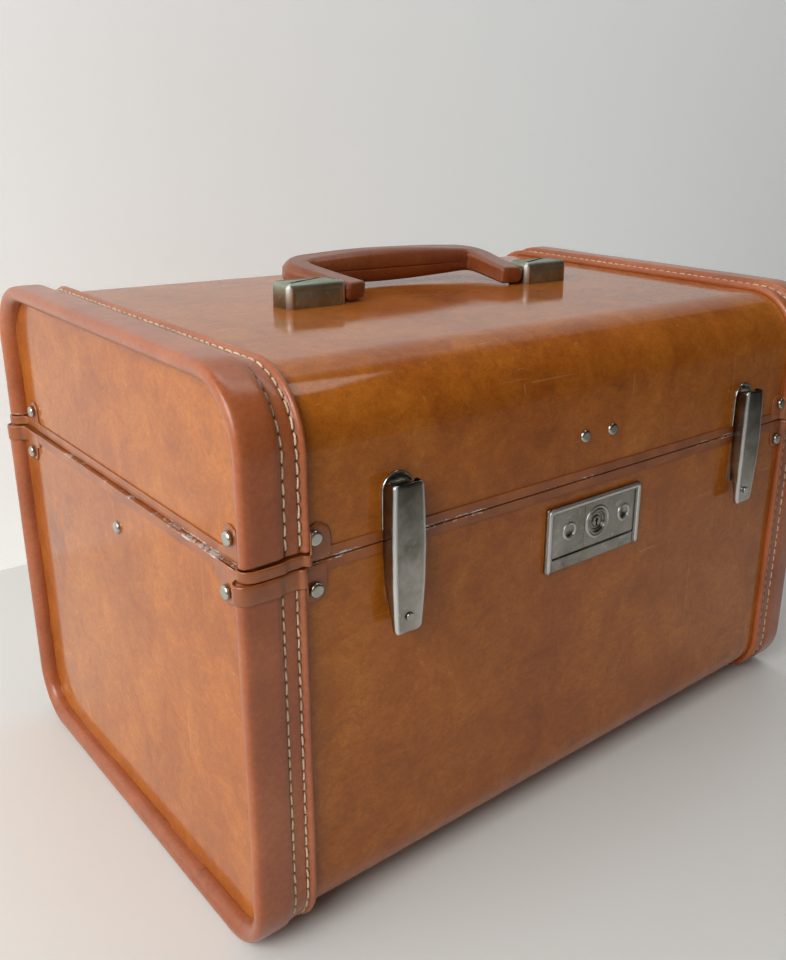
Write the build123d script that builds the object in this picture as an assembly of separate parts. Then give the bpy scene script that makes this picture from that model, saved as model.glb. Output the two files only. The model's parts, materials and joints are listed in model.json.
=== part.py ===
from build123d import *
import os
from math import radians, sin

# A rigid cosmetic train case: a base and a hinged lid with leather-bound ends.
# Millimetres.  +X runs along the front, +Y to the back and +Z up.  The origin is
# the centre of the footprint, on the plane that the bound ends stand on.

# ---------------------------------------------------------------- driving sizes
BASE_HALF_X = 165.0         # outside of the base's end panels
LID_INSET = 1.8             # the lid is this much shorter at each end
HALF_Y = 111.2              # outside of the front and back walls
BODY_LOW = 3.5              # underside of the bottom wall
BODY_HIGH = 220.5           # top of the lid
TOP_R = 25.5                # rounding of the long top edges
LOW_R = 22.0                # rounding of the long bottom edges
WALL = 4.0
SPLIT_Z = 156.5             # parting plane between base and lid
RIM_GAP = 0.3               # half of the gap left at the parting plane
RUN = 0.05                  # radial clearance of a pin that turns in a hole

CHANNEL_OUT = 0.6           # edge channel, proud of the wall
CHANNEL_TALL = 3.9
CHANNEL_WEB = 0.8

ROLL_HALF_Y = 114.0         # thick rolled part of the leather binding
ROLL_HIGH = 225.0
ROLL_TOP_R = 28.0
ROLL_LOW_R = 25.0
ROLL_OUT = 6.0              # proud of the end panel
ROLL_BACK = 9.0             # how far the roll reaches over the long walls
LIP_WIDTH = 7.2             # width of the binding seen from the end
FLANGE_HALF_Y = 113.0       # thin stitched part of the binding
FLANGE_LOW = 1.6
FLANGE_HIGH = 222.6
FLANGE_BACK = 18.2
BASE_BINDING_TOP = 149.0
LID_BINDING_LOW = 161.2

STRAP_TOP = 160.8           # corner straps, lid above and base below the split
STRAP_OUT = 1.3             # proud of the wall at the strap's tails
STRAP_TAIL_X = 136.8
STRAP_TAIL_Y = 86.0
LOBE_R = 4.8
CORNER_RIVET_X = 142.0
CORNER_RIVET_Y = 95.0
LID_RIVET_Z = 165.5
BASE_RIVET_Z = 146.4

TONGUE_THICK = 2.0          # inner board that the lid closes over
TONGUE_LOW = 143.0
TONGUE_HIGH = 163.5
TONGUE_CLEAR = 0.6
TONGUE_NOTCH = 30.0
LINING = 1.0
LID_LINING_LOW = 166.0

LOCK_HALF_X = 29.75
LOCK_LOW = 118.2
LOCK_HIGH = 147.6
LOCK_BACK = 0.5             # backing sheet
LOCK_DECK = 1.4             # face of the recessed field
LOCK_STRIP = 1.5            # face of the plain strip along the bottom
LOCK_RIM = 2.0              # face of the raised rim
LOCK_RIM_WIDTH = 3.0
LOCK_STRIP_TOP = 124.4
KEY_X = 1.5
KEY_Z = 135.2
KEY_R = 4.9
DIMPLE_X = 17.7             # each dimple's distance from the key cylinder
SLIDE_LEFT = -6.5
SLIDE_RIGHT = 26.9
SLIDE_TRAVEL = 2.2
LOCK_BODY_X = 24.0
LOCK_BODY_Z = (122.0, 146.0)
LOCK_BODY_BACK = -99.2

HASP_HALF_X = 7.0
HASP_PLATE_X = 14.0
HASP_RIVET_X = 8.6
HASP_RIVET_Z = 175.7
HASP_TIP_Z = 137.0
HASP_THICK = 1.2
HASP_JOG = 1.8

LATCH_X = 107.0
LEVER_LOW = 120.6
LEVER_HIGH = 178.7
LEVER_HALF_X = 6.6
LEVER_SHEET = 1.0
LEVER_FACE_Y = -119.5
LEVER_BOW = 0.5             # the lever's face is this much lower at its ends
LEVER_TAPER_Z = 142.0       # below this its sides taper towards the foot
LEVER_FOOT = 1.7            # depth of the lever at its foot
LATCH_PIVOT_Y = -115.8
LATCH_PIVOT_Z = 175.9
LATCH_PIN_R = 0.9
LATCH_EAR_R = 1.9
LEVER_RIVET_Z = 127.5
HOOK_Y = (-117.9, -117.1)
PLATE_THICK = 1.0
PLATE_HALF_X = 7.0
PLATE_HIGH = 181.8
STRIKE_Z = (131.0, 152.0)
LUG_Z = (141.0, 143.0)

HINGE_Y = 117.0
HINGE_X = 90.0
HINGE_HALF = 20.0
KNUCKLE_R = 2.5
KNUCKLE_HALF = 9.8          # half of the lid leaf's middle knuckle
KNUCKLE_GAP = 0.2
HINGE_PIN_R = 1.2
LEAF_THICK = 1.3
LEAF_TALL = 21.0

HANDLE_Z = 226.0            # pivot axis, along X
HANDLE_TILT = 9.5           # folded back, this far above level
HANDLE_END_X = 49.6
HANDLE_CORNER_X = 58.0
HANDLE_REACH = 34.0
HANDLE_CORNER_R = 13.0
GRIP_WIDE = 12.4            # at the arms
GRIP_THICK = 9.0
GRIP_MID = (13.6, 14.6)     # thickness and width at the middle of the bar
GRIP_END_R = 5.0
HANDLE_PIN_R = 2.0
BRACKET_X = (56.0, 86.0)
BRACKET_HALF_Y = 7.5
BRACKET_TALL = 11.0
BRACKET_SHEET = 1.2

TRAY_HALF = (150.0, 93.0)
TRAY_FLANGE = (155.5, 97.0)
TRAY_Z = (104.0, 144.0)
TRAY_WALL = 2.0
RAIL_TOP = 141.2
RAIL_Z = 138.3              # height of the rivet that holds each rail

MIRROR_HALF = (92.0, 60.0)
MIRROR_THICK = 3.0
FRAME_WIDTH = 8.0
FRAME_THICK = 5.0

LID_HALF_X = BASE_HALF_X - LID_INSET
BASE_RIM = SPLIT_Z - RIM_GAP
LID_RIM = SPLIT_Z + RIM_GAP
INNER_Y = HALF_Y - WALL
FRONT = -HALF_Y
FAR = 400.0                 # larger than the whole case


# ---------------------------------------------------------------- shared helpers
def brick(x, y, z):
    """Box from three (low, high) pairs."""
    centre = [(low + high) / 2 for low, high in (x, y, z)]
    size = [high - low for low, high in (x, y, z)]
    return Pos(*centre) * Box(*size)


def outline(half_y, low, high, top_r, low_r):
    """Rounded end view of the case, local X along world Y and local Y along Z."""
    flat = Pos(0, (low + high) / 2) * Rectangle(2 * half_y, high - low)
    flat = fillet(flat.vertices().group_by(Axis.Y)[-1], top_r)
    return fillet(flat.vertices().group_by(Axis.Y)[0], low_r)


def shrunk(amount):
    """End view of the shell, moved inwards by amount."""
    return outline(HALF_Y - amount, BODY_LOW + amount, BODY_HIGH - amount,
                   TOP_R - amount, LOW_R - amount)


def roll_outline(amount=0.0):
    """End view of the binding's roll, moved inwards by amount."""
    return outline(ROLL_HALF_Y - amount, amount, ROLL_HIGH - amount,
                   ROLL_TOP_R - amount, ROLL_LOW_R - amount)


def along_x(sketch, start, end):
    """Extrude an end view from X start to X end."""
    plane = Plane(origin=(start, 0, 0), x_dir=(0, 1, 0), z_dir=(1, 0, 0))
    return extrude(plane * sketch, amount=end - start)


def below(z):
    return brick((-FAR, FAR), (-FAR, FAR), (-FAR, z))


def above(z):
    return brick((-FAR, FAR), (-FAR, FAR), (z, FAR))


def left(shape):
    """Mirror image across the middle of the case."""
    return mirror(shape, about=Plane.YZ)


def back(shape):
    """Mirror image from the front wall to the back wall."""
    return mirror(shape, about=Plane.XZ)


def pair(shape):
    """The shape and its mirror image as one group of separate solids."""
    return Compound([shape, left(shape)])


def four_corners(shape):
    """The front right shape repeated at all four corners."""
    return [shape, left(shape), back(shape), left(back(shape))]


def rod(at, direction, radius, length):
    """Cylinder that starts at a point and runs along direction."""
    start = Plane(origin=at, z_dir=direction)
    return extrude(start * Circle(radius), amount=length)


def rivet(at, outward, grip, head_r=2.8, head_h=1.3, shank_r=1.3, tail_h=0.8):
    """Domed rivet: head above the point, shank and clinched tail below it."""
    place = Plane(origin=at, z_dir=outward)
    head = extrude(Circle(head_r), amount=head_h)
    head = fillet(head.edges().group_by(Axis.Z)[-1], head_h * 0.85)
    shank = extrude(Circle(shank_r), amount=-grip)
    tail = Pos(0, 0, -grip - tail_h) * extrude(Circle(shank_r + 0.9), amount=tail_h)
    return place * (head + shank + tail)


def rivet_hole(at, outward, grip, shank_r=1.3, tail_h=0.8):
    """Room for that rivet's shank and tail."""
    place = Plane(origin=at, z_dir=outward)
    hole = extrude(Circle(shank_r + RUN), amount=FAR / 100)
    hole += extrude(Circle(shank_r + RUN), amount=-grip)
    hole += Pos(0, 0, -grip - tail_h) * extrude(Circle(shank_r + 1.0), amount=tail_h)
    return place * hole


# ---------------------------------------------------------------- rivet positions
TAIL_H = 0.8
STRAP_GRIP = STRAP_OUT + WALL - TAIL_H
PLATE_GRIP = WALL - TAIL_H


def corner_rivets(half_x, z):
    """(point, outward, grip) of the eight rivets that hold four corner straps."""
    places = []
    for sx in (-1, 1):
        for sy in (-1, 1):
            front = (sx * CORNER_RIVET_X, sy * (HALF_Y + STRAP_OUT), z)
            end = (sx * (half_x + STRAP_OUT), sy * CORNER_RIVET_Y, z)
            places.append((front, (0, sy, 0), STRAP_GRIP))
            places.append((end, (sx, 0, 0), STRAP_GRIP))
    return places


def on_front(xs, zs, proud):
    """Places on the front wall, under plates that stand proud of it."""
    return [((x, FRONT - proud, z), (0, -1, 0), PLATE_GRIP + proud)
            for x in xs for z in zs]


STRIKE_RIVETS = on_front((-LATCH_X, LATCH_X), (134.0, 148.5), PLATE_THICK)
LATCH_RIVETS = on_front((-LATCH_X, LATCH_X), (163.5, 168.5), PLATE_THICK)
HASP_RIVETS = [((x, FRONT, HASP_RIVET_Z), (0, -1, 0), WALL + HASP_THICK)
               for x in (-HASP_RIVET_X, HASP_RIVET_X)]


def hinge_rivets(z):
    """Places of the rivets in the leaves on the back wall."""
    xs = [sx * (HINGE_X + dx) for sx in (-1, 1) for dx in (-12.0, 12.0)]
    return [((x, HALF_Y + LEAF_THICK, z), (0, 1, 0), PLATE_GRIP + LEAF_THICK)
            for x in xs]


BASE_HINGE_RIVETS = hinge_rivets(BASE_RIM - 14.0)
LID_HINGE_RIVETS = hinge_rivets(LID_RIM + 14.0)
BEARING_RIVETS = [((sx * x, 0, BODY_HIGH + 1.2), (0, 0, 1), PLATE_GRIP + 1.2)
                  for sx in (-1, 1) for x in (65.0, 75.0)]
RAIL_INNER = BASE_HALF_X - WALL - LINING - 7.0
RAIL_RIVETS = [((sx * BASE_HALF_X, 0, RAIL_Z), (sx, 0, 0), WALL + LINING + 6.2)
               for sx in (-1, 1)]


def rivets(places, **sizes):
    return Compound([rivet(*place, **sizes) for place in places])


def drilled(shape, places, **sizes):
    """The shape with room for every rivet in the list."""
    for place in places:
        shape = shape - rivet_hole(*place, **sizes)
    return shape


# ---------------------------------------------------------------- walls
def base_shell():
    """Front, bottom and back of the base, bent from one sheet."""
    half = BASE_HALF_X - WALL
    wall = along_x(shrunk(0), -half, half) - along_x(shrunk(WALL), -FAR, FAR)
    wall = wall & below(BASE_RIM - CHANNEL_WEB)
    wall -= lock_room()
    wall = drilled(wall, corner_rivets(BASE_HALF_X, BASE_RIVET_Z))
    wall = drilled(wall, STRIKE_RIVETS, shank_r=1.0)
    wall = drilled(wall, BASE_HINGE_RIVETS, shank_r=1.0)
    return drilled(wall, lock_screw_places(), shank_r=0.9)


def base_end():
    """Right end panel of the base."""
    panel = along_x(shrunk(0), BASE_HALF_X - WALL, BASE_HALF_X)
    panel = panel & below(BASE_RIM - CHANNEL_WEB)
    panel = drilled(panel, corner_rivets(BASE_HALF_X, BASE_RIVET_Z))
    return drilled(panel, RAIL_RIVETS)


def lid_shell():
    """Front, top and back of the lid, bent from one sheet."""
    half = LID_HALF_X - WALL
    wall = along_x(shrunk(0), -half, half) - along_x(shrunk(WALL), -FAR, FAR)
    wall = wall & above(LID_RIM + CHANNEL_WEB)
    wall = drilled(wall, corner_rivets(LID_HALF_X, LID_RIVET_Z))
    wall = drilled(wall, LATCH_RIVETS, shank_r=1.0)
    wall = drilled(wall, LID_HINGE_RIVETS, shank_r=1.0)
    wall = drilled(wall, HASP_RIVETS)
    return drilled(wall, BEARING_RIVETS, shank_r=1.2)


def lid_end():
    """Right end panel of the lid."""
    panel = along_x(shrunk(0), LID_HALF_X - WALL, LID_HALF_X)
    panel = panel & above(LID_RIM + CHANNEL_WEB)
    return drilled(panel, corner_rivets(LID_HALF_X, LID_RIVET_Z))


def edge_channel(half_x, low, high, web, leaves):
    """Folded metal edge that caps one rim all the way round."""
    out = CHANNEL_OUT
    band = brick((-half_x - out, half_x + out), (FRONT - out, HALF_Y + out), (low, high))
    wall = brick((-half_x, half_x), (FRONT, HALF_Y), (low, high))
    inside = half_x - WALL
    hole = brick((-inside, inside), (-INNER_Y, INNER_Y), (low, high))
    return band - (wall - web) - hole - leaves


def base_edge_channel():
    web = above(BASE_RIM - CHANNEL_WEB)
    return edge_channel(BASE_HALF_X, BASE_RIM - CHANNEL_TALL, BASE_RIM, web, base_leaves())


def lid_edge_channel():
    web = below(LID_RIM + CHANNEL_WEB)
    return edge_channel(LID_HALF_X, LID_RIM, LID_RIM + CHANNEL_TALL, web, lid_leaves())


def binding(half_x):
    """Leather binding round the right end, before it is cut at the parting line."""
    inner = half_x - FLANGE_BACK
    seam = half_x - ROLL_BACK
    edge = half_x + ROLL_OUT
    flange = outline(FLANGE_HALF_Y, FLANGE_LOW, FLANGE_HIGH, TOP_R + 2, LOW_R + 2)
    body = along_x(roll_outline(), seam, edge) + along_x(flange, inner, seam)
    body -= along_x(shrunk(0), inner, half_x)
    body -= along_x(roll_outline(LIP_WIDTH), half_x, edge)
    rim = body.faces().sort_by(Axis.X)[-1]
    body = fillet(rim.outer_wire().edges(), 4.0)
    rim = body.faces().sort_by(Axis.X)[-1]
    return fillet(rim.inner_wires()[0].edges(), 2.4)


def corner_strap(half_x, low, high, proud, rivet_z, clear):
    """Strap round the front right corner, with a lobe under each rivet."""
    edge = half_x + ROLL_OUT + proud
    face = -ROLL_HALF_Y - proud
    wrap = brick((half_x - ROLL_BACK, edge), (face, face + LIP_WIDTH), (low, high))
    upright = wrap.edges().filter_by(Axis.Z).group_by(Axis.X)[-1].sort_by(Axis.Y)[0]
    wrap = fillet(upright, 4.0)
    front = FRONT - STRAP_OUT
    side = half_x + STRAP_OUT
    front_tail = brick((STRAP_TAIL_X, half_x - ROLL_BACK), (front, FRONT), (low, high))
    step = brick((half_x - FLANGE_BACK, half_x - ROLL_BACK),
                 (-FLANGE_HALF_Y - 0.5, FRONT), (low, high))
    end_tail = brick((half_x, side), (-HALF_Y, -STRAP_TAIL_Y), (low, high))
    lobe_front = rod((CORNER_RIVET_X, front, rivet_z), (0, 1, 0), LOBE_R, STRAP_OUT)
    lobe_end = rod((side, -CORNER_RIVET_Y, rivet_z), (-1, 0, 0), LOBE_R, STRAP_OUT)
    neck_z = sorted((rivet_z, (low + high) / 2))
    neck_front = brick((CORNER_RIVET_X - LOBE_R, CORNER_RIVET_X + LOBE_R),
                       (front, FRONT), neck_z)
    neck_end = brick((half_x, side), (-CORNER_RIVET_Y - LOBE_R, -CORNER_RIVET_Y + LOBE_R),
                     neck_z)
    strap = wrap + front_tail + step + end_tail
    strap += lobe_front + neck_front + lobe_end + neck_end
    strap -= brick((-FAR, half_x), (FRONT, FAR), (-FAR, FAR))
    for other in clear:
        strap -= other
    return drilled(strap, corner_rivets(half_x, rivet_z))


def base_corner_straps():
    clear = [base_edge_channel(), binding(BASE_HALF_X) & below(BASE_BINDING_TOP)]
    strap = corner_strap(BASE_HALF_X, BASE_BINDING_TOP, BASE_RIM, 0.4, BASE_RIVET_Z, clear)
    return Compound(four_corners(strap))


def lid_corner_straps():
    clear = [lid_edge_channel(), binding(LID_HALF_X) & above(LID_BINDING_LOW)]
    strap = corner_strap(LID_HALF_X, LID_RIM, STRAP_TOP, 0.0, LID_RIVET_Z, clear)
    return Compound(four_corners(strap))


# ---------------------------------------------------------------- inside fittings
def base_tongue():
    """Board inside the base's rim that the lid closes over."""
    inside_x = BASE_HALF_X - WALL
    lid_x = LID_HALF_X - WALL - TONGUE_CLEAR
    lid_y = INNER_Y - TONGUE_CLEAR
    low = brick((-inside_x, inside_x), (-INNER_Y, INNER_Y), (TONGUE_LOW, BASE_RIM))
    high = brick((-lid_x, lid_x), (-lid_y, lid_y), (BASE_RIM, TONGUE_HIGH))
    hole_x = lid_x - TONGUE_THICK + TONGUE_CLEAR
    hole_y = INNER_Y - TONGUE_THICK
    hole = brick((-hole_x, hole_x), (-hole_y, hole_y), (TONGUE_LOW, TONGUE_HIGH))
    notch = brick((-TONGUE_NOTCH, TONGUE_NOTCH), (-HALF_Y, 0), (TONGUE_LOW, TONGUE_HIGH))
    return low + high - hole - notch


def lining(half_x, keep):
    """Thin lining against the inside of the walls."""
    room = along_x(shrunk(WALL), -half_x, half_x)
    room -= along_x(shrunk(WALL + LINING), -half_x + LINING, half_x - LINING)
    return room & keep


def base_lining():
    skin = lining(BASE_HALF_X - WALL, below(TONGUE_LOW))
    skin -= brick((-TONGUE_NOTCH, TONGUE_NOTCH), (-HALF_Y, -90), (116.0, 150.0))
    return drilled(skin, RAIL_RIVETS)


def lid_lining():
    skin = lining(LID_HALF_X - WALL, above(LID_LINING_LOW))
    return skin - brick((-16.0, 16.0), (-HALF_Y, -90), (160.0, 184.0))


def tray_rail():
    """Ledge on the right end wall that the tray's flange rests on."""
    outer = BASE_HALF_X - WALL - LINING
    rail = brick((RAIL_INNER, outer), (-70.0, 70.0), (RAIL_TOP - 7.0, RAIL_TOP))
    long_edge = rail.edges().filter_by(Axis.Y).group_by(Axis.Z)[0].sort_by(Axis.X)[0]
    return drilled(fillet(long_edge, 3.0), RAIL_RIVETS)


def tray():
    """Lift-out tray with a flange, one long divider and two short ones."""
    half_x, half_y = TRAY_HALF
    low, high = TRAY_Z
    tub = brick((-half_x, half_x), (-half_y, half_y), (low, high))
    tub = fillet(tub.edges().filter_by(Axis.Z), 10.0)
    tub = fillet(tub.faces().sort_by(Axis.Z)[0].edges(), 4.0)
    flange_x, flange_y = TRAY_FLANGE
    flange = brick((-flange_x, flange_x), (-flange_y, flange_y), (high - 2.2, high))
    flange = fillet(flange.edges().filter_by(Axis.Z), 8.0)
    body = tub + Pos(0, 0, -0.4) * flange
    floor = low + TRAY_WALL
    divider_y = 22.0
    cells = []
    for x0, x1, y0, y1 in ((-half_x, half_x, divider_y, half_y),
                           (-half_x, -55.0, -half_y, divider_y),
                           (-55.0, 55.0, -half_y, divider_y),
                           (55.0, half_x, -half_y, divider_y)):
        cell = brick((x0 + TRAY_WALL, x1 - TRAY_WALL), (y0 + TRAY_WALL, y1 - TRAY_WALL),
                     (floor, high + 1))
        cells.append(fillet(cell.edges().filter_by(Axis.Z), 8.0))
    for cell in cells:
        body -= cell
    return body


def mirror_glass():
    x, y = MIRROR_HALF
    top = BODY_HIGH - WALL - LINING
    glass = brick((-x, x), (-y, y), (top - MIRROR_THICK, top))
    return fillet(glass.edges().filter_by(Axis.Z), 6.0)


def mirror_frame():
    """Frame that holds the mirror against the lid's lining."""
    x, y = MIRROR_HALF
    top = BODY_HIGH - WALL - LINING
    low = top - FRAME_THICK
    outer = brick((-x - FRAME_WIDTH, x + FRAME_WIDTH), (-y - FRAME_WIDTH, y + FRAME_WIDTH),
                  (low, top))
    outer = fillet(outer.edges().filter_by(Axis.Z), 12.0)
    outer = fillet(outer.faces().sort_by(Axis.Z)[0].edges(), 1.5)
    pocket = brick((-x - RUN, x + RUN), (-y - RUN, y + RUN), (top - MIRROR_THICK, top))
    pocket = fillet(pocket.edges().filter_by(Axis.Z), 6.0)
    window = brick((-x + 4, x - 4), (-y + 4, y - 4), (low, top))
    window = fillet(window.edges().filter_by(Axis.Z), 5.0)
    return outer - pocket - window


# ---------------------------------------------------------------- centre lock
def on_lock(x, z, proud):
    """Box on the front wall between two distances proud of it."""
    return brick(x, (FRONT - proud[1], FRONT - proud[0]), z)


def lock_room():
    """Cut-out in the front wall behind the lock plate."""
    return brick((-LOCK_BODY_X, LOCK_BODY_X), (-HALF_Y - 1, -90), LOCK_BODY_Z)


def dimple(x):
    """Shallow round hollow in the face of the lock."""
    ball = 8.0
    depth = 0.75
    return Pos(x, FRONT - LOCK_DECK + depth - ball, KEY_Z) * Sphere(ball)


def lock_plate():
    """Pressed plate: raised rim on three sides, a field and a plain strip below."""
    half = LOCK_HALF_X
    inner = half - LOCK_RIM_WIDTH
    field_top = LOCK_HIGH - LOCK_RIM_WIDTH
    plate = on_lock((-half, half), (LOCK_LOW, LOCK_HIGH), (0, LOCK_RIM))
    corners = plate.edges().filter_by(Axis.Y)
    plate = fillet(corners, 1.0)
    rim = plate.faces().sort_by(Axis.Y)[0]
    plate = chamfer(rim.edges(), 0.8)
    plate -= on_lock((-inner, inner), (LOCK_STRIP_TOP, field_top), (LOCK_DECK, LOCK_RIM))
    plate -= on_lock((-inner, inner), (LOCK_LOW, LOCK_STRIP_TOP), (LOCK_STRIP, LOCK_RIM))
    plate -= on_lock((-inner, inner), (LOCK_STRIP_TOP - 0.5, LOCK_STRIP_TOP + 0.2),
                     (LOCK_DECK - 0.5, LOCK_RIM))
    pocket_z = (LOCK_STRIP_TOP + 0.2, field_top + 0.8)
    plate -= on_lock((SLIDE_LEFT - 0.3, half - 0.6), pocket_z, (LOCK_BACK, LOCK_DECK))
    plate -= on_lock((KEY_X - KEY_R - 0.2, KEY_X + KEY_R + SLIDE_TRAVEL + 0.2),
                     (KEY_Z - KEY_R - 0.2, KEY_Z + KEY_R + 0.2), (0, LOCK_BACK))
    plate -= on_lock((13.8, 17.2 + SLIDE_TRAVEL), (131.8, 138.2), (0, LOCK_BACK))
    return plate - dimple(KEY_X - DIMPLE_X)


def lock_slide():
    """Sliding half of the field, carrying the key cylinder."""
    z = (LOCK_STRIP_TOP + 0.3, LOCK_HIGH - LOCK_RIM_WIDTH + 0.7)
    gate = on_lock((SLIDE_LEFT, SLIDE_RIGHT), z, (LOCK_BACK + 0.05, LOCK_DECK - 0.05))
    face = FRONT - LOCK_DECK + 0.05
    collar = rod((KEY_X, face, KEY_Z), (0, -1, 0), KEY_R + 1.2, 0.6)
    collar = fillet(collar.edges().group_by(Axis.Y)[0], 0.5)
    gate += collar
    gate -= rod((KEY_X, FRONT, KEY_Z), (0, -1, 0), KEY_R + RUN, 10.0)
    return gate - dimple(KEY_X + DIMPLE_X)


def lock_bolt():
    """Bolt behind the slide; it stops just short of the hasp."""
    return brick((14.0, 17.0), (FRONT - LOCK_BACK - 0.05, -106.6), (132.0, 138.0))


def key_cylinder():
    """Barrel with a stepped face and a key slot."""
    face = FRONT - LOCK_DECK + 0.3
    barrel = rod((KEY_X, -107.2, KEY_Z), (0, -1, 0), KEY_R, -107.2 - face)
    barrel -= rod((KEY_X, face, KEY_Z), (0, 1, 0), KEY_R - 1.0, 0.5)
    plug = rod((KEY_X, face + 0.5, KEY_Z), (0, -1, 0), 2.6, 0.6)
    plug = fillet(plug.edges().group_by(Axis.Y)[0], 0.4)
    slot = brick((KEY_X - 0.5, KEY_X + 0.5), (face - 1, face + 2.5), (KEY_Z - 2.2, KEY_Z + 0.6))
    pin_hole = rod((KEY_X, face - 1, KEY_Z + 0.6), (0, 1, 0), 0.95, 3.5)
    return barrel + plug - slot - pin_hole


def lock_screw_places():
    """Screws from inside, through the lock body's flange into the front wall."""
    return [((x, -INNER_Y + 1.0, z), (0, 1, 0), 3.4) for x in (-26.4, 26.4)
            for z in (120.4, 145.2)]


def lock_body():
    """Pressed box behind the plate, with a slot in its top for the hasp."""
    x = LOCK_BODY_X
    low, high = LOCK_BODY_Z
    flange = brick((-x - 5, x + 5), (-INNER_Y, -INNER_Y + 1), (low - 4, high + 1.6))
    box = brick((-x, x), (FRONT, LOCK_BODY_BACK), (low, high))
    hollow = brick((-x + 1.2, x - 1.2), (FRONT, LOCK_BODY_BACK - 1.2), (low + 1.2, high - 1.2))
    slot = brick((-8.5, 8.5), (-108.0, -102.0), (high - 1.3, high + 2))
    body = box + flange - hollow - slot
    return drilled(body, lock_screw_places(), shank_r=0.9)


def lock_screws():
    """Four round-headed screws."""
    return rivets(lock_screw_places(), head_r=1.7, head_h=0.9, shank_r=0.9, tail_h=0.01)


def hasp():
    """Blade on the lid that drops through the slot of the lock body."""
    wall = -INNER_Y
    plate = brick((-HASP_PLATE_X, HASP_PLATE_X), (wall, wall + HASP_THICK), (164.0, 182.0))
    plate = fillet(plate.edges().filter_by(Axis.Y), 2.5)
    step = brick((-HASP_HALF_X, HASP_HALF_X), (wall, wall + HASP_JOG + HASP_THICK),
                 (164.0, 165.2))
    blade = brick((-HASP_HALF_X, HASP_HALF_X),
                  (wall + HASP_JOG, wall + HASP_JOG + HASP_THICK), (HASP_TIP_Z, 165.2))
    window = brick((-4.0, 4.0), (wall, wall + 5), (141.0, 147.0))
    return drilled(plate + step + blade - window, HASP_RIVETS)


# ---------------------------------------------------------------- draw latches
def lever_side():
    """Side view of the lever: bowed face, round top end and tapered foot."""
    face = LEVER_FACE_Y
    nose = LEVER_HIGH - LATCH_PIVOT_Z
    end_y = face + LEVER_BOW
    rear = LATCH_PIVOT_Y + nose
    middle = (LEVER_LOW + LEVER_HIGH) / 2
    turn = nose * sin(radians(45))
    face_line = ThreePointArc((end_y, LEVER_LOW), (face, middle), (end_y, LEVER_HIGH))
    top_line = Line((end_y, LEVER_HIGH), (LATCH_PIVOT_Y, LEVER_HIGH))
    round_end = ThreePointArc((LATCH_PIVOT_Y, LEVER_HIGH),
                              (LATCH_PIVOT_Y + turn, LATCH_PIVOT_Z + turn),
                              (rear, LATCH_PIVOT_Z))
    rear_line = Line((rear, LATCH_PIVOT_Z), (rear, LEVER_TAPER_Z))
    taper = ThreePointArc((rear, LEVER_TAPER_Z), (-114.4, 129.5), (end_y + LEVER_FOOT, LEVER_LOW))
    foot = Line((end_y + LEVER_FOOT, LEVER_LOW), (end_y, LEVER_LOW))
    return make_face([face_line, top_line, round_end, rear_line, taper, foot])


def lever_hollow():
    """Side view of the room inside the lever, open at the back and the top."""
    face = LEVER_FACE_Y + LEVER_SHEET
    low = LEVER_LOW + LEVER_SHEET
    high = LEVER_HIGH + LEVER_SHEET
    end_y = face + LEVER_BOW
    face_line = ThreePointArc((end_y, low), (face, (low + high) / 2), (end_y, high))
    rest = Polyline((end_y, high), (-HALF_Y, high), (-HALF_Y, low), (end_y, low))
    return make_face([face_line, rest])


def latch_lever():
    """Right lever: a channel hinged at its top that swings out and up."""
    half = LEVER_HALF_X
    solid = along_x(lever_side(), -half, half)
    solid = fillet(solid.faces().sort_by(Axis.Y)[0].edges(), 1.1)
    hollow = along_x(lever_hollow(), -half + LEVER_SHEET, half - LEVER_SHEET)
    lever = solid - hollow
    lever -= rod((-half - 1, LATCH_PIVOT_Y, LATCH_PIVOT_Z), (1, 0, 0),
                 LATCH_PIN_R + RUN, 2 * half + 2)
    return Pos(LATCH_X, 0, 0) * (lever - lever_rivet_hole())


def lever_rivet_hole():
    return rod((0, LEVER_FACE_Y - 1, LEVER_RIVET_Z), (0, 1, 0), 1.0 + RUN, 4.0)


def latch_rivet():
    """Rivet that shows near the foot of the right lever and holds its hook."""
    seat = LEVER_FACE_Y + 0.23
    at = (LATCH_X, seat, LEVER_RIVET_Z)
    return rivet(at, (0, -1, 0), HOOK_Y[1] - seat, head_r=1.7, head_h=0.6, shank_r=1.0,
                 tail_h=0.4)


def latch_hook():
    """Hook strip inside the right lever, with a nose under the strike's lug."""
    strip = brick((-2.8, 2.8), HOOK_Y, (124.5, 146.0))
    nose = brick((-2.8, 2.8), (HOOK_Y[0], -114.0), (LUG_Z[0] - 1.6, LUG_Z[0] - 0.4))
    return Pos(LATCH_X, 0, 0) * (strip + nose - lever_rivet_hole())


def latch_plate():
    """Round-topped plate on the lid behind the right lever, with two pivot ears."""
    face = FRONT - PLATE_THICK
    low = LID_RIM + CHANNEL_TALL + 0.1
    top = PLATE_HIGH - PLATE_HALF_X
    plate = brick((-PLATE_HALF_X, PLATE_HALF_X), (face, FRONT), (low, top))
    plate += rod((0, FRONT, top), (0, -1, 0), PLATE_HALF_X, PLATE_THICK)
    rim = plate.faces().sort_by(Axis.Y)[0].edges().filter_by(GeomType.CIRCLE)
    plate = fillet(rim, 0.5)
    ear_z = (LATCH_PIVOT_Z - LATCH_EAR_R, LATCH_PIVOT_Z + LATCH_EAR_R)
    for side in (-1, 1):
        x = sorted((side * 3.2, side * 4.4))
        plate += brick(x, (LATCH_PIVOT_Y, face), ear_z)
        plate += rod((x[0], LATCH_PIVOT_Y, LATCH_PIVOT_Z), (1, 0, 0), LATCH_EAR_R, x[1] - x[0])
    plate -= rod((-7, LATCH_PIVOT_Y, LATCH_PIVOT_Z), (1, 0, 0), LATCH_PIN_R, 14.0)
    return drilled(Pos(LATCH_X, 0, 0) * plate, LATCH_RIVETS, shank_r=1.0)


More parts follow.
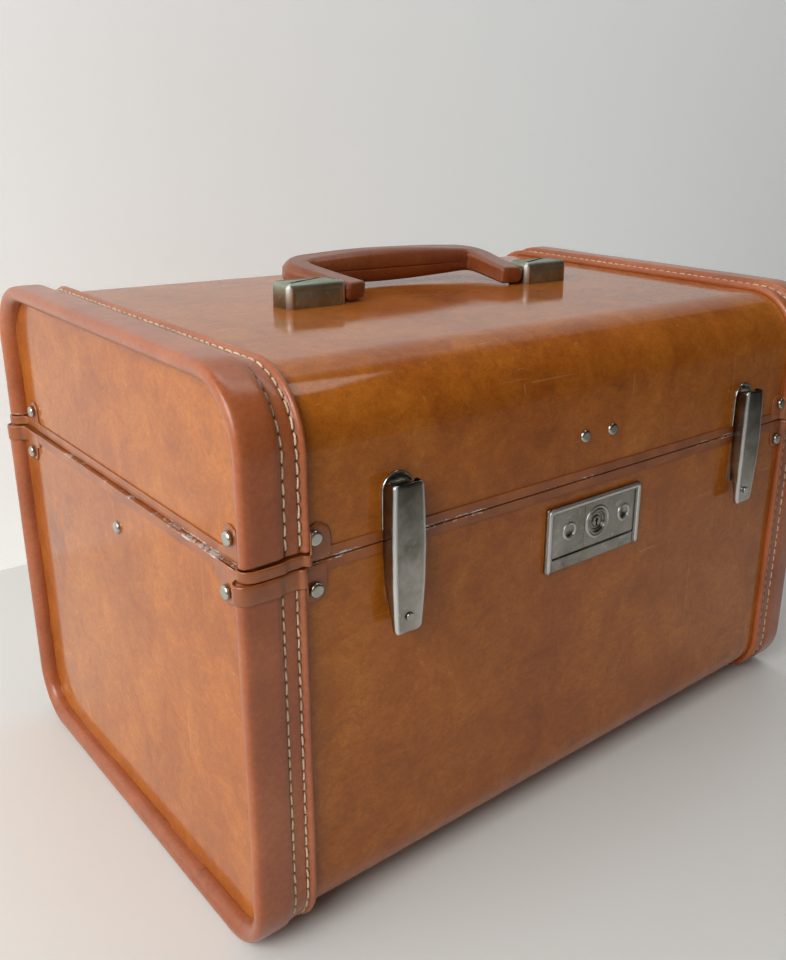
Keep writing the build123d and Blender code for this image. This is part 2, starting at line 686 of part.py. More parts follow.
def latch_pin():
    at = (LATCH_X - LEVER_HALF_X, LATCH_PIVOT_Y, LATCH_PIVOT_Z)
    return rod(at, (1, 0, 0), LATCH_PIN_R, 2 * LEVER_HALF_X)


def latch_spring():
    """Leaf spring on the right latch plate, bent towards the lever."""
    thick = 0.4
    foot = FRONT - PLATE_THICK
    tip = foot - 2.6
    side = Polyline((foot, 172.9), (foot, 171.0), (tip, 164.5), (tip - thick, 164.5),
                    (foot - thick, 171.0), (foot - thick, 172.9), close=True)
    return Pos(LATCH_X, 0, 0) * along_x(make_face(side), -2.6, 2.6)


def strike_plate():
    """Plate on the base behind the right lever, with a lug for the hook."""
    face = FRONT - PLATE_THICK
    plate = brick((-5.0, 5.0), (face, FRONT), STRIKE_Z)
    plate = fillet(plate.edges().filter_by(Axis.Y), 1.5)
    plate += brick((-3.0, 3.0), (face - 1.2, face), LUG_Z)
    return drilled(Pos(LATCH_X, 0, 0) * plate, STRIKE_RIVETS, shank_r=1.0)


# ---------------------------------------------------------------- back hinges
def knuckle(x0, x1):
    """Length of hinge barrel, bored for the pin."""
    return rod((x0, HINGE_Y, SPLIT_Z), (1, 0, 0), KNUCKLE_R, x1 - x0)


def leaf(low, high, web, spans):
    """Leaf of the right hinge: a flat plate joined to its knuckles."""
    plate = brick((HINGE_X - HINGE_HALF, HINGE_X + HINGE_HALF),
                  (HALF_Y, HALF_Y + LEAF_THICK), (low, high))
    for x0, x1 in spans:
        plate += brick((x0, x1), (HALF_Y, HINGE_Y), web) + knuckle(x0, x1)
    plate -= rod((HINGE_X - 30, HINGE_Y, SPLIT_Z), (1, 0, 0), HINGE_PIN_R + RUN, 60.0)
    return drilled(plate, BASE_HINGE_RIVETS + LID_HINGE_RIVETS, shank_r=1.0)


def base_leaf():
    outer = HINGE_X - HINGE_HALF
    inner = HINGE_X - KNUCKLE_HALF - KNUCKLE_GAP
    far_inner = HINGE_X + KNUCKLE_HALF + KNUCKLE_GAP
    spans = [(outer, inner), (far_inner, HINGE_X + HINGE_HALF)]
    web = (BASE_RIM - 2.0, BASE_RIM)
    return leaf(BASE_RIM - LEAF_TALL, BASE_RIM, web, spans)


def lid_leaf():
    spans = [(HINGE_X - KNUCKLE_HALF, HINGE_X + KNUCKLE_HALF)]
    web = (LID_RIM, LID_RIM + 2.0)
    return leaf(LID_RIM, LID_RIM + LEAF_TALL, web, spans)


def base_leaves():
    return base_leaf() + left(base_leaf())


def lid_leaves():
    return lid_leaf() + left(lid_leaf())


def hinge_pin():
    """Pin of the right hinge, fast in the base leaf."""
    at = (HINGE_X - HINGE_HALF - 0.4, HINGE_Y, SPLIT_Z)
    return rod(at, (1, 0, 0), HINGE_PIN_R, 2 * HINGE_HALF + 0.8)


# ---------------------------------------------------------------- handle
def handle_bracket():
    """Right stamped cap, open underneath and towards the handle."""
    x0, x1 = BRACKET_X
    half = BRACKET_HALF_Y
    low, high = BODY_HIGH, BODY_HIGH + BRACKET_TALL
    cap = brick((x0, x1), (-half, half), (low, high))
    outer_corners = cap.edges().filter_by(Axis.Z).group_by(Axis.X)[-1]
    cap = fillet(outer_corners, 4.0)
    cap = fillet(cap.faces().sort_by(Axis.Z)[-1].edges().sort_by(Axis.X)[1:], 2.4)
    sheet = BRACKET_SHEET
    room = brick((x0, x1 - sheet), (-half + sheet, half - sheet), (low, high - sheet))
    room = fillet(room.edges().filter_by(Axis.Z).group_by(Axis.X)[-1], 2.8)
    room = fillet(room.faces().sort_by(Axis.Z)[-1].edges().sort_by(Axis.X)[1:], 1.2)
    return cap - room


def handle_bearing():
    """Plate with two lugs inside the right bracket, bored for the handle's pin."""
    plate = brick((57.5, 83.4), (-5.4, 5.4), (BODY_HIGH, BODY_HIGH + 1.2))
    for x in (58.0, 80.0):
        lug = brick((x, x + 2.4), (-3.6, 3.6), (BODY_HIGH, HANDLE_Z))
        plate += lug + rod((x, 0, HANDLE_Z), (1, 0, 0), 3.6, 2.4)
    plate -= rod((50.0, 0, HANDLE_Z), (1, 0, 0), HANDLE_PIN_R + RUN, 40.0)
    return drilled(plate, BEARING_RIVETS, shank_r=1.2)


def folded(shape):
    """Place a handle drawn flat, reach along Y, on its axis at the folded angle."""
    return Pos(0, 0, HANDLE_Z) * Rot(HANDLE_TILT, 0, 0) * shape


def handle_grip():
    """Bar with two arms, swept along its middle line and fullest at the middle."""
    tail = -GRIP_END_R - 1
    lean = (HANDLE_CORNER_X - HANDLE_END_X) / HANDLE_REACH
    end_x = HANDLE_END_X + lean * tail
    path = FilletPolyline((-end_x, tail), (-HANDLE_CORNER_X, HANDLE_REACH),
                          (HANDLE_CORNER_X, HANDLE_REACH), (end_x, tail),
                          radius=HANDLE_CORNER_R)
    arm = RectangleRounded(GRIP_THICK, GRIP_WIDE, 3.4)
    middle = RectangleRounded(*GRIP_MID, 4.6)
    stations = [Plane(origin=path @ t, x_dir=(0, 0, 1), z_dir=path % t) for t in (0, 0.5, 1)]
    sections = [stations[0] * arm, stations[1] * middle, stations[2] * arm]
    grip = sweep(sections, path=path, multisection=True)
    ends = brick((-FAR, FAR), (-FAR, 0), (-FAR, FAR))
    ends -= rod((-FAR, 0, 0), (1, 0, 0), GRIP_END_R, 2 * FAR)
    side = brick((BRACKET_X[0] - 0.5, FAR), (-FAR, 12.0), (-FAR, FAR))
    grip = grip - ends - side - left(side)
    for pin in (rod((44.0, 0, 0), (1, 0, 0), HANDLE_PIN_R, 20.0),
                rod((-44.0, 0, 0), (-1, 0, 0), HANDLE_PIN_R, 20.0)):
        grip -= pin
    return folded(grip)


def handle_pin():
    """Right pivot pin, fast in the end of the grip."""
    pin = rod((44.0, 0, HANDLE_Z), (1, 0, 0), HANDLE_PIN_R, 39.0)
    return pin


# ---------------------------------------------------------------- all the parts
def parts():
    base_wrap = binding(BASE_HALF_X) & below(BASE_BINDING_TOP)
    lid_wrap = binding(LID_HALF_X) & above(LID_BINDING_LOW)
    return {
        "base_shell": base_shell(),
        "base_end_left": left(base_end()),
        "base_end_right": base_end(),
        "base_binding_left": left(base_wrap),
        "base_binding_right": base_wrap,
        "base_edge_channel": base_edge_channel(),
        "base_corner_straps": base_corner_straps(),
        "base_corner_rivets": rivets(corner_rivets(BASE_HALF_X, BASE_RIVET_Z)),
        "base_tongue": base_tongue(),
        "base_lining": base_lining(),
        "tray_rails": pair(tray_rail()),
        "rail_rivets": rivets(RAIL_RIVETS),
        "lock_plate": lock_plate(),
        "lock_body": lock_body(),
        "lock_screws": lock_screws(),
        "strike_plates": pair(strike_plate()),
        "strike_rivets": rivets(STRIKE_RIVETS, head_r=1.6, head_h=0.5, shank_r=1.0),
        "base_hinge_leaves": pair(base_leaf()),
        "base_hinge_rivets": rivets(BASE_HINGE_RIVETS, head_r=2.2, head_h=0.9, shank_r=1.0),
        "hinge_pins": pair(hinge_pin()),
        "lock_slide": lock_slide(),
        "lock_bolt": lock_bolt(),
        "key_cylinder": key_cylinder(),
        "latch_lever_left": left(latch_lever()),
        "latch_lever_right": latch_lever(),
        "latch_hook_left": left(latch_hook()),
        "latch_hook_right": latch_hook(),
        "latch_rivet_left": left(latch_rivet()),
        "latch_rivet_right": latch_rivet(),
        "tray": tray(),
        "lid_shell": lid_shell(),
        "lid_end_left": left(lid_end()),
        "lid_end_right": lid_end(),
        "lid_binding_left": left(lid_wrap),
        "lid_binding_right": lid_wrap,
        "lid_edge_channel": lid_edge_channel(),
        "lid_corner_straps": lid_corner_straps(),
        "lid_corner_rivets": rivets(corner_rivets(LID_HALF_X, LID_RIVET_Z)),
        "lid_lining": lid_lining(),
        "mirror": mirror_glass(),
        "mirror_frame": mirror_frame(),
        "hasp": hasp(),
        "hasp_rivets": rivets(HASP_RIVETS),
        "latch_plates": pair(latch_plate()),
        "latch_plate_rivets": rivets(LATCH_RIVETS, head_r=1.6, head_h=0.5, shank_r=1.0),
        "latch_pins": pair(latch_pin()),
        "latch_springs": pair(latch_spring()),
        "lid_hinge_leaves": pair(lid_leaf()),
        "lid_hinge_rivets": rivets(LID_HINGE_RIVETS, head_r=2.2, head_h=0.9, shank_r=1.0),
        "handle_bracket_left": left(handle_bracket()),
        "handle_bracket_right": handle_bracket(),
        "handle_bearings": pair(handle_bearing()),
        "bearing_rivets": rivets(BEARING_RIVETS, head_r=2.0, head_h=0.8, shank_r=1.2),
        "handle_grip": handle_grip(),
        "handle_pins": pair(handle_pin()),
    }


os.makedirs("parts", exist_ok=True)
for name, shape in parts().items():
    export_step(shape, f"parts/{name}.step")
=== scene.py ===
import json
import math
import random
import bmesh
import bpy
import numpy as np
from mathutils import Matrix, Vector


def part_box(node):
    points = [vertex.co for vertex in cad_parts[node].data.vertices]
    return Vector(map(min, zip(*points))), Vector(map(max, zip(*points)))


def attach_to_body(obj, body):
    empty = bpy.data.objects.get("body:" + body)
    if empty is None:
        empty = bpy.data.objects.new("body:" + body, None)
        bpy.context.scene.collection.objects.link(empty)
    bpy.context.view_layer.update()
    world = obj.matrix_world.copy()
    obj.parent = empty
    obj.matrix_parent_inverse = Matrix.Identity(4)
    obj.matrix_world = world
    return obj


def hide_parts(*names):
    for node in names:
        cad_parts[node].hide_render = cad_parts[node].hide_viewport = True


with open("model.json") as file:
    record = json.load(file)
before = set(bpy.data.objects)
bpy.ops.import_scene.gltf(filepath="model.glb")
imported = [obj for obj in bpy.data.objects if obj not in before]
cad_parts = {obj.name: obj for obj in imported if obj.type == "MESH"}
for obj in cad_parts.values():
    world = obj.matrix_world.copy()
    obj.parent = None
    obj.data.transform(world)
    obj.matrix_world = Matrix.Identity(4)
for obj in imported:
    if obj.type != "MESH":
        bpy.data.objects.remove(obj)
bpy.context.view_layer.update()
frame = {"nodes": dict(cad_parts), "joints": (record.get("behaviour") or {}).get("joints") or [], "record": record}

MM = 0.001    # lengths below are in millimetres unless they say otherwise

# ------------ sizes from the frame
shell_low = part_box("base_shell")[0]
lid_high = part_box("lid_shell")[1]
roll_low, roll_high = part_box("base_binding_right")
lid_roll_low, lid_roll_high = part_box("lid_binding_right")
BASE_HALF_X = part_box("base_end_right")[1].x / MM
LID_HALF_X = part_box("lid_end_right")[1].x / MM
# Outlines seen from the end; top_r and low_r round their long edges.
SHELL = {"half_y": lid_high.y / MM, "low": shell_low.z / MM, "high": lid_high.z / MM,
         "top_r": 25.5, "low_r": 22.0}
ROLL = {"half_y": roll_high.y / MM, "low": roll_low.z / MM, "high": lid_roll_high.z / MM,
        "top_r": 28.0, "low_r": 25.0}
LIP = 7.3                      # width of the binding seen from the end
LID_CUT = lid_roll_low.z / MM + 0.2    # where the lid's bindings start
BASE_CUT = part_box("base_corner_straps")[1].z / MM - 0.4    # where the base's bindings end


# ------------ mesh helpers
def new_object(name, verts, faces, material):
    """Smooth mesh object from points in millimetres."""
    mesh = bpy.data.meshes.new(name)
    mesh.from_pydata([tuple(c * MM for c in v) for v in verts], [], faces)
    mesh.validate()
    obj = bpy.data.objects.new(name, mesh)
    bpy.context.scene.collection.objects.link(obj)
    mesh.materials.append(material)
    mesh.polygons.foreach_set("use_smooth", [True] * len(mesh.polygons))
    fix_normals(mesh)
    return obj


def set_attribute(obj, name, values):
    """Stores one number per vertex for the materials."""
    layer = obj.data.attributes.new(name, "FLOAT", "POINT")
    layer.data.foreach_set("value", np.array(values, np.float32))


def attach(obj, body, slot, *nodes):
    """The body a piece rides on and the CAD nodes it stands for, which are hidden. The slot argument, a material
    slot, is not used.
    """
    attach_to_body(obj, body)
    if nodes:
        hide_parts(*nodes)


def fix_normals(mesh):
    """Turns every face outwards."""
    bm = bmesh.new()
    bm.from_mesh(mesh)
    bmesh.ops.recalc_face_normals(bm, faces=bm.faces)
    bm.to_mesh(mesh)
    bm.free()


def tube_faces(rows, columns, offset=0, cap=True):
    """Quads of a closed tube of rows rings with columns points each, with end caps."""
    faces = []
    for i in range(rows - 1):
        for j in range(columns):
            a = offset + i * columns + j
            b = offset + i * columns + (j + 1) % columns
            faces.append((a, b, b + columns, a + columns))
    if cap:
        faces.append(tuple(offset + j for j in range(columns)))
        last = offset + (rows - 1) * columns
        faces.append(tuple(last + j for j in reversed(range(columns))))
    return faces


def spline(points, per_span):
    """Catmull-Rom curve through the points, as an array."""
    pts = np.array(points, float)
    ends = np.vstack([2 * pts[0] - pts[1], pts, 2 * pts[-1] - pts[-2]])
    out = []
    for i in range(1, len(ends) - 2):
        p0, p1, p2, p3 = ends[i - 1:i + 3]
        for k in range(per_span):
            t = k / per_span
            out.append(0.5 * (2 * p1 + (p2 - p0) * t + (2 * p0 - 5 * p1 + 4 * p2 - p3) * t ** 2
                              + (3 * p1 - p0 - 3 * p2 + p3) * t ** 3))
    out.append(pts[-1])
    return np.array(out)


def sideways(path):
    """Unit normals of a plane path, to the left of its direction."""
    tangent = np.gradient(path, axis=0)
    tangent /= np.linalg.norm(tangent, axis=1)[:, None]
    return np.stack([-tangent[:, 1], tangent[:, 0]], axis=1)


def resample(points, step):
    """Points at equal steps along a polyline, and the distance at each."""
    gaps = np.linalg.norm(np.diff(points, axis=0), axis=1)
    along = np.concatenate([[0], np.cumsum(gaps)])
    count = max(2, int(round(along[-1] / step)) + 1)
    wanted = np.linspace(0, along[-1], count)
    columns = [np.interp(wanted, along, points[:, k]) for k in range(points.shape[1])]
    return np.stack(columns, axis=1), wanted


# ------------ material helpers
class Nodes:
    """Short names for building the nodes of one material or world."""

    def __init__(self, name, kind="materials"):
        self.owner = getattr(bpy.data, kind).new(name)
        self.owner.use_nodes = True
        self.tree = self.owner.node_tree
        self.bsdf = self.tree.nodes.get("Principled BSDF")

    def add(self, kind, **values):
        """Shader node with its inputs and properties set."""
        node = self.tree.nodes.new("ShaderNode" + kind)
        for key, value in values.items():
            if key in node.inputs:
                node.inputs[key].default_value = value
            else:
                setattr(node, key, value)
        return node

    def link(self, source, target):
        self.tree.links.new(source, target)

    def feed(self, slot, value):
        """Links a socket, or stores a number or a colour."""
        if isinstance(value, bpy.types.NodeSocket):
            self.link(value, slot)
        elif isinstance(value, tuple):
            slot.default_value = (*value, 1)
        else:
            slot.default_value = value

    def place(self, scale=(1, 1, 1), turn=(0, 0, 0)):
        """Object coordinates, stretched by scale."""
        coords = self.add("TexCoord")
        mapping = self.add("Mapping", Scale=scale, Rotation=turn)
        self.link(coords.outputs["Object"], mapping.inputs["Vector"])
        return mapping.outputs["Vector"]

    def noise(self, where, scale, detail=4.0, rough=0.5, twist=0.0):
        node = self.add("TexNoise", Scale=scale, Detail=detail, Roughness=rough,
                        Distortion=twist)
        self.link(where, node.inputs["Vector"])
        return node.outputs["Fac"]

    def cells(self, where, scale, feature="F1"):
        node = self.add("TexVoronoi", feature=feature, Scale=scale)
        self.link(where, node.inputs["Vector"])
        return node.outputs["Distance"]

    def ramp(self, value, *stops):
        """Colour ramp; each stop is (position, colour or grey)."""
        node = self.add("ValToRGB")
        elements = node.color_ramp.elements
        while len(elements) < len(stops):
            elements.new(0.5)
        for element, (position, colour) in zip(elements, stops):
            element.position = position
            if isinstance(colour, (int, float)):
                colour = (colour, colour, colour)
            element.color = (*colour, 1)
        self.link(value, node.inputs["Fac"])
        return node.outputs["Color"]

    def mix(self, factor, a, b, blend="MIX"):
        """Mix of two colours; each may be a socket or a colour."""
        node = self.add("Mix", data_type="RGBA", blend_type=blend)
        for slot, value in ((0, factor), (6, a), (7, b)):
            self.feed(node.inputs[slot], value)
        return node.outputs[2]

    def maths(self, operation, a, b):
        node = self.add("Math", operation=operation)
        for slot, value in ((0, a), (1, b)):
            self.feed(node.inputs[slot], value)
        return node.outputs[0]

    def plus(self, a, b):
        return self.maths("ADD", a, b)

    def minus(self, a, b):
        return self.maths("SUBTRACT", a, b)

    def times(self, a, b):
        return self.maths("MULTIPLY", a, b)

    def blend(self, a, part_a, b, part_b):
        return self.plus(self.times(a, part_a), self.times(b, part_b))

    def scaled(self, value, low, high):
        """Value from 0..1 moved to low..high."""
        return self.plus(self.times(value, high - low), low)

    def bump(self, height, distance_mm, strength=1.0, normal=None):
        node = self.add("Bump", Distance=distance_mm * MM, Strength=strength)
        self.link(height, node.inputs["Height"])
        if normal is not None:
            self.link(normal, node.inputs["Normal"])
        return node.outputs["Normal"]

    def soft_edges(self, radius_mm):
        """Normal with its sharp edges rounded."""
        return self.add("Bevel", samples=4, Radius=radius_mm * MM).outputs["Normal"]

    def attribute(self, name):
        return self.add("Attribute", attribute_name=name).outputs["Fac"]

    def height(self, axis=2):
        """Object coordinate along one axis, in metres."""
        coords = self.add("TexCoord")
        split = self.add("SeparateXYZ")
        self.link(coords.outputs["Object"], split.inputs[0])
        return split.outputs[axis]

    def set(self, **values):
        """Inputs of the material's surface; underscores stand for spaces."""
        for key, value in values.items():
            self.feed(self.bsdf.inputs[key.replace("_", " ")], value)
        return self.owner

    def mix_shaders(self, factor, a, b, output):
        """Ends in shader a or, where factor is 1, in shader b."""
        mix = self.add("MixShader")
        for slot, source in enumerate((factor, a, b)):
            self.link(source, mix.inputs[slot])
        self.link(mix.outputs[0], self.tree.nodes[output].inputs["Surface"])


# ------------ materials
def panel_material():
    """Varnished, mottled caramel covering with fine pores, stains and scratches."""
    n = Nodes("panel_covering")
    here = n.place()
    drift = n.noise(n.place((1.0, 1.0, 0.55)), 12, 5, 0.62, 0.7)
    blotch = n.noise(here, 52, 6, 0.70, 1.1)
    cloud = n.blend(drift, 0.55, blotch, 0.45)
    colour = n.ramp(cloud, (0.30, (0.235, 0.052, 0.003)), (0.45, (0.345, 0.087, 0.005)),
                    (0.57, (0.435, 0.123, 0.009)), (0.72, (0.545, 0.180, 0.019)))
    fleck = n.noise(n.place((1.0, 1.0, 1.5)), 330, 5, 0.75, 0.5)
    colour = n.mix(0.32, colour, n.ramp(fleck, (0.36, 0.30), (0.64, 0.70)), "OVERLAY")
    grain = n.noise(n.place((1.0, 1.0, 1.8)), 1300, 4, 0.7)
    colour = n.mix(0.40, colour, n.ramp(grain, (0.35, 0.34), (0.62, 0.68)), "OVERLAY")
    stain = n.ramp(n.noise(here, 34, 7, 0.72, 1.6), (0.585, 0.0), (0.72, 0.55))
    colour = n.mix(stain, colour, (0.175, 0.044, 0.008))
    pores = n.ramp(n.cells(here, 620), (0.0, 1.0), (0.17, 0.0))
    sparse = n.ramp(n.noise(here, 130, 3), (0.50, 0.0), (0.66, 0.7))
    colour = n.mix(n.times(pores, sparse), colour, (0.10, 0.024, 0.005))
    scratch = n.noise(n.place((420, 420, 14), (0.35, 0.5, 0.2)), 1.0, 2, 0.4, 0.3)
    scratch = n.ramp(scratch, (0.735, 0.0), (0.76, 0.5))
    scrape = n.noise(n.place((26, 380, 700), (0.3, 0.1, 0.25)), 1.0, 2, 0.4, 0.4)
    scrape = n.ramp(scrape, (0.745, 0.0), (0.765, 0.6))
    # scratched and scraped varnish, paler than the rest
    wear_and_highlight = n.maths("MAXIMUM", scratch, scrape)
    colour = n.mix(n.times(wear_and_highlight, 0.5), colour, (0.62, 0.33, 0.15))
    wave = n.noise(here, 15, 2, 0.5)
    peel = n.noise(here, 300, 3, 0.55)
    relief = n.plus(n.times(peel, 0.035), wave)
    normal = n.bump(relief, 0.5, 0.5)
    coat_normal = n.bump(n.minus(grain, wear_and_highlight), 0.02, 0.5, normal)
    coat = n.scaled(n.noise(here, 34, 5, 0.65), 0.015, 0.075)
    coat = n.plus(coat, n.times(wear_and_highlight, 0.2))
    return n.set(Base_Color=colour, Roughness=0.6, Normal=normal, Specular_IOR_Level=0.12,
                 Coat_Weight=0.85, Coat_IOR=1.45, Coat_Roughness=coat, Coat_Normal=coat_normal)


def leather_material(name="binding_leather", lightness=1.0):
    """Smooth red-brown leather with a fine grain, creases, and needle holes darkened with painted shade."""
    n = Nodes(name)
    here = n.place()
    broad = n.noise(here, 26, 4, 0.55, 0.4)
    fine_spots = n.noise(here, 520, 5, 0.7, 0.3)
    mottle = n.blend(broad, 0.55, fine_spots, 0.45)
    low = tuple(c * lightness for c in (0.265, 0.060, 0.017))
    mid = tuple(c * lightness for c in (0.365, 0.095, 0.028))
    high = tuple(c * lightness for c in (0.470, 0.145, 0.050))
    colour = n.ramp(mottle, (0.32, low), (0.50, mid), (0.70, high))
    grain = n.cells(here, 1500, "SMOOTH_F1")
    fine = n.noise(here, 2600, 3, 0.6)
    crease = n.cells(n.place((1.0, 1.0, 0.6)), 240, "DISTANCE_TO_EDGE")
    crease = n.ramp(crease, (0.0, 0.0), (0.05, 1.0))
    crease_mask = n.ramp(n.noise(here, 55, 3), (0.52, 0.0), (0.68, 0.45))
    line = n.times(n.minus(1.0, crease), crease_mask)
    colour = n.mix(n.times(line, 0.5), colour, (0.16, 0.035, 0.012))
    # painted shade: the leather round each needle hole is darkened almost to black
    holes = n.attribute("needle")
    colour = n.mix(holes, colour, (0.030, 0.010, 0.006))
    rub = n.attribute("rub")
    scuff = n.ramp(n.noise(here, 210, 5, 0.7, 1.0), (0.55, 0.0), (0.72, 1.0))
    colour = n.mix(n.times(rub, n.scaled(scuff, 0.25, 0.9)), colour,
                   (0.075, 0.026, 0.016))
    relief = n.blend(grain, 0.6, fine, 0.5)
    relief = n.minus(relief, n.times(line, 1.2))
    normal = n.bump(relief, 0.06, 0.55)
    rough = n.scaled(n.noise(here, 150, 4, 0.6), 0.26, 0.42)
    return n.set(Base_Color=colour, Roughness=rough, Normal=normal, Specular_IOR_Level=0.35,
                 Coat_Weight=0.45, Coat_Roughness=0.22)


def strap_material():
    """Brown coated metal of the corner straps, rubbed pale along a few edges."""
    n = Nodes("strap_coating")
    here = n.place()
    paint = n.ramp(n.noise(here, 75, 5, 0.6), (0.35, (0.250, 0.062, 0.012)),
                   (0.65, (0.375, 0.106, 0.022)))
    chips = n.noise(n.place((1.0, 1.0, 1.6)), 420, 6, 0.75, 0.4)
    patch = n.noise(here, 60, 3, 0.6)
    bare = n.ramp(n.blend(chips, 0.6, patch, 0.4),
                  (0.66, 0.0), (0.70, 0.8))
    colour = n.mix(bare, paint, (0.62, 0.50, 0.42))
    height = n.minus(n.noise(here, 700, 3), n.times(bare, 1.0))
    return n.set(Base_Color=colour, Roughness=n.scaled(n.noise(here, 120, 4), 0.24, 0.42),
                 Coat_Weight=0.5, Coat_Roughness=0.12,
                 Normal=n.bump(height, 0.05, 0.6, n.soft_edges(0.25)))


def nickel_material(name="aged_nickel", edge_mm=0.35, grime=0.5, hollow_mm=1.2, stain=None,
                    dull=0.0, tone=(1.0, 1.0, 1.0)):
    """Old bright nickel: faint cloudy tarnish, dark specks and hairline scratches, with painted shade in its
    recesses and painted highlights on rubbed edges.

    stain is a (low, high) height range in mm over which the metal darkens upwards, dull makes
    the whole surface rougher, and tone tints it.
    """
    n = Nodes(name)
    here = n.place()
    cloud = n.noise(here, 70, 5, 0.6, 0.4)
    colour = n.ramp(cloud, (0.32, (0.36, 0.335, 0.275)), (0.55, (0.50, 0.475, 0.42)),
                    (0.75, (0.62, 0.60, 0.56)))
    rubbed = n.ramp(n.noise(here, 150, 6, 0.72, 1.4), (0.56, 0.0), (0.66, 0.65))
    colour = n.mix(rubbed, colour, (0.74, 0.72, 0.66))
    specks = n.ramp(n.cells(here, 1100), (0.0, 1.0), (0.2, 0.0))
    where = n.ramp(n.noise(here, 120, 4, 0.7), (0.50, 0.0), (0.68, 1.0))
    spots = n.times(n.times(specks, where), grime)
    colour = n.mix(spots, colour, (0.12, 0.09, 0.05))
    smudge = n.ramp(n.noise(here, 55, 5, 0.65, 0.8), (0.60, 0.0), (0.78, 0.7))
    colour = n.mix(smudge, colour, (0.20, 0.175, 0.125))
    if stain:
        climb = n.maths("DIVIDE", n.minus(n.height(), stain[0] * MM),
                        (stain[1] - stain[0]) * MM)
        climb = n.plus(climb, n.scaled(n.noise(here, 110, 5, 0.6, 0.6), -0.7, 0.7))
        darker = n.ramp(climb, (0.25, 0.0), (1.0, 0.85))
        colour = n.mix(darker, colour, (0.115, 0.105, 0.085))
    colour = n.mix(1.0, colour, tone, "MULTIPLY")
    # painted shade: ambient occlusion darkens the metal in recesses, in corners and inside the levers
    hollow = n.add("AmbientOcclusion", samples=4, only_local=True, Distance=hollow_mm * MM)
    dirt_and_recess_shade = n.ramp(hollow.outputs["AO"], (0.30, 0.85), (0.80, 0.0))
    colour = n.mix(dirt_and_recess_shade, colour, (0.075, 0.058, 0.038))
    lines = n.noise(n.place((1600, 300, 60), (0.2, 0.4, 0.7)), 1.0, 3, 0.6)
    rough = n.scaled(cloud, 0.13 + dull, 0.27 + dull)
    rough = n.plus(rough, n.times(n.maths("MAXIMUM", spots, smudge), 0.22))
    rough = n.plus(rough, n.times(lines, 0.05))
    # painted highlight over real rubbing: where a mesh marks it, the colour is lightened and the metal roughened
    wear_and_highlight = n.attribute("wear_and_highlight")
    colour = n.mix(n.times(wear_and_highlight, 0.85), colour, (0.90, 0.89, 0.87))
    rough = n.plus(rough, n.times(wear_and_highlight, 0.22))
    normal = n.bump(lines, 0.012, 0.3, n.soft_edges(edge_mm))
    normal = n.bump(n.noise(here, 60, 2, 0.5), 0.10, 0.35, normal)
    return n.set(Base_Color=colour, Metallic=1.0, Roughness=rough, Normal=normal)


def steel_material():
    """Plain drawn steel of the inner fittings."""
    n = Nodes("plain_steel")
    lines = n.noise(n.place((60, 60, 2400)), 1.0, 3, 0.6)
    colour = n.ramp(n.noise(n.place(), 220, 5), (0.35, (0.30, 0.29, 0.27)), (0.7, (0.56, 0.55, 0.53)))
    return n.set(Base_Color=colour, Metallic=1.0, Roughness=n.scaled(lines, 0.25, 0.5),
                 Normal=n.bump(lines, 0.02, 0.5, n.soft_edges(0.25)))


def edge_material(name, rim_z, side):
    """Brown painted edge metal, chipped to bright metal along the rim at height rim_z."""
    n = Nodes(name)
    here = n.place()
    paint = n.ramp(n.noise(here, 60, 5, 0.6), (0.35, (0.260, 0.064, 0.010)),
                   (0.65, (0.385, 0.108, 0.019)))
    from_rim = n.times(n.minus(n.height(), rim_z * MM), side / MM)
    near = n.ramp(n.times(from_rim, 0.5), (0.30, 1.0), (0.55, 0.0))
    chips = n.noise(n.place((1.0, 1.0, 3.0)), 300, 6, 0.75, 0.3)
    patch = n.noise(here, 28, 3, 0.6)
    score = n.plus(n.times(near, 0.20),
                    n.blend(chips, 0.55, patch, 0.42))
    bare = n.ramp(score, (0.735, 0.0), (0.748, 1.0))
    colour = n.mix(bare, paint, (0.72, 0.68, 0.63))
    height = n.minus(n.noise(here, 420, 3), n.times(bare, 1.5))
    return n.set(Base_Color=colour, Metallic=n.times(bare, 0.6),
                 Roughness=n.scaled(bare, 0.34, 0.5), Coat_Weight=0.3,
                 Normal=n.bump(height, 0.05, 0.6, n.soft_edges(0.3)))


def thread_material():
    """Cream waxed thread."""
    n = Nodes("thread")
    fuzz = n.noise(n.place(), 3200, 4, 0.7)
    colour = n.ramp(n.noise(n.place(), 90, 4), (0.35, (0.50, 0.36, 0.20)), (0.62, (0.74, 0.60, 0.41)))
    return n.set(Base_Color=colour, Roughness=0.62, Normal=n.bump(fuzz, 0.08, 0.6),
                 Sheen_Weight=0.3)


def lining_material():
    """Satin lining over card, in warm gold cream, with painted shade in its folds."""
    n = Nodes("lining_fabric")
    weave = n.noise(n.place((2600, 2600, 500)), 1.0, 3, 0.6)
    fold = n.noise(n.place((1, 1, 0.4)), 45, 4, 0.5, 0.4)
    # painted shade: darker towards the hollows of the folds the bump draws, lighter on their ridges
    colour = n.ramp(fold, (0.3, (0.50, 0.36, 0.20)), (0.7, (0.68, 0.53, 0.33)))
    relief = n.plus(fold, n.times(weave, 0.03))
    return n.set(Base_Color=colour, Roughness=n.scaled(weave, 0.38, 0.55), Sheen_Weight=0.5,
                 Normal=n.bump(relief, 1.2, 0.5), Anisotropic=0.4)


def board_material():
    """Cloth-covered board round the rim."""
    n = Nodes("covered_board")
    weave = n.noise(n.place((1800, 1800, 1800)), 1.0, 3, 0.6)
    colour = n.ramp(n.noise(n.place(), 70, 4), (0.3, (0.34, 0.18, 0.08)), (0.7, (0.46, 0.27, 0.13)))
    return n.set(Base_Color=colour, Roughness=0.7, Normal=n.bump(weave, 0.1, 0.5, n.soft_edges(0.5)))


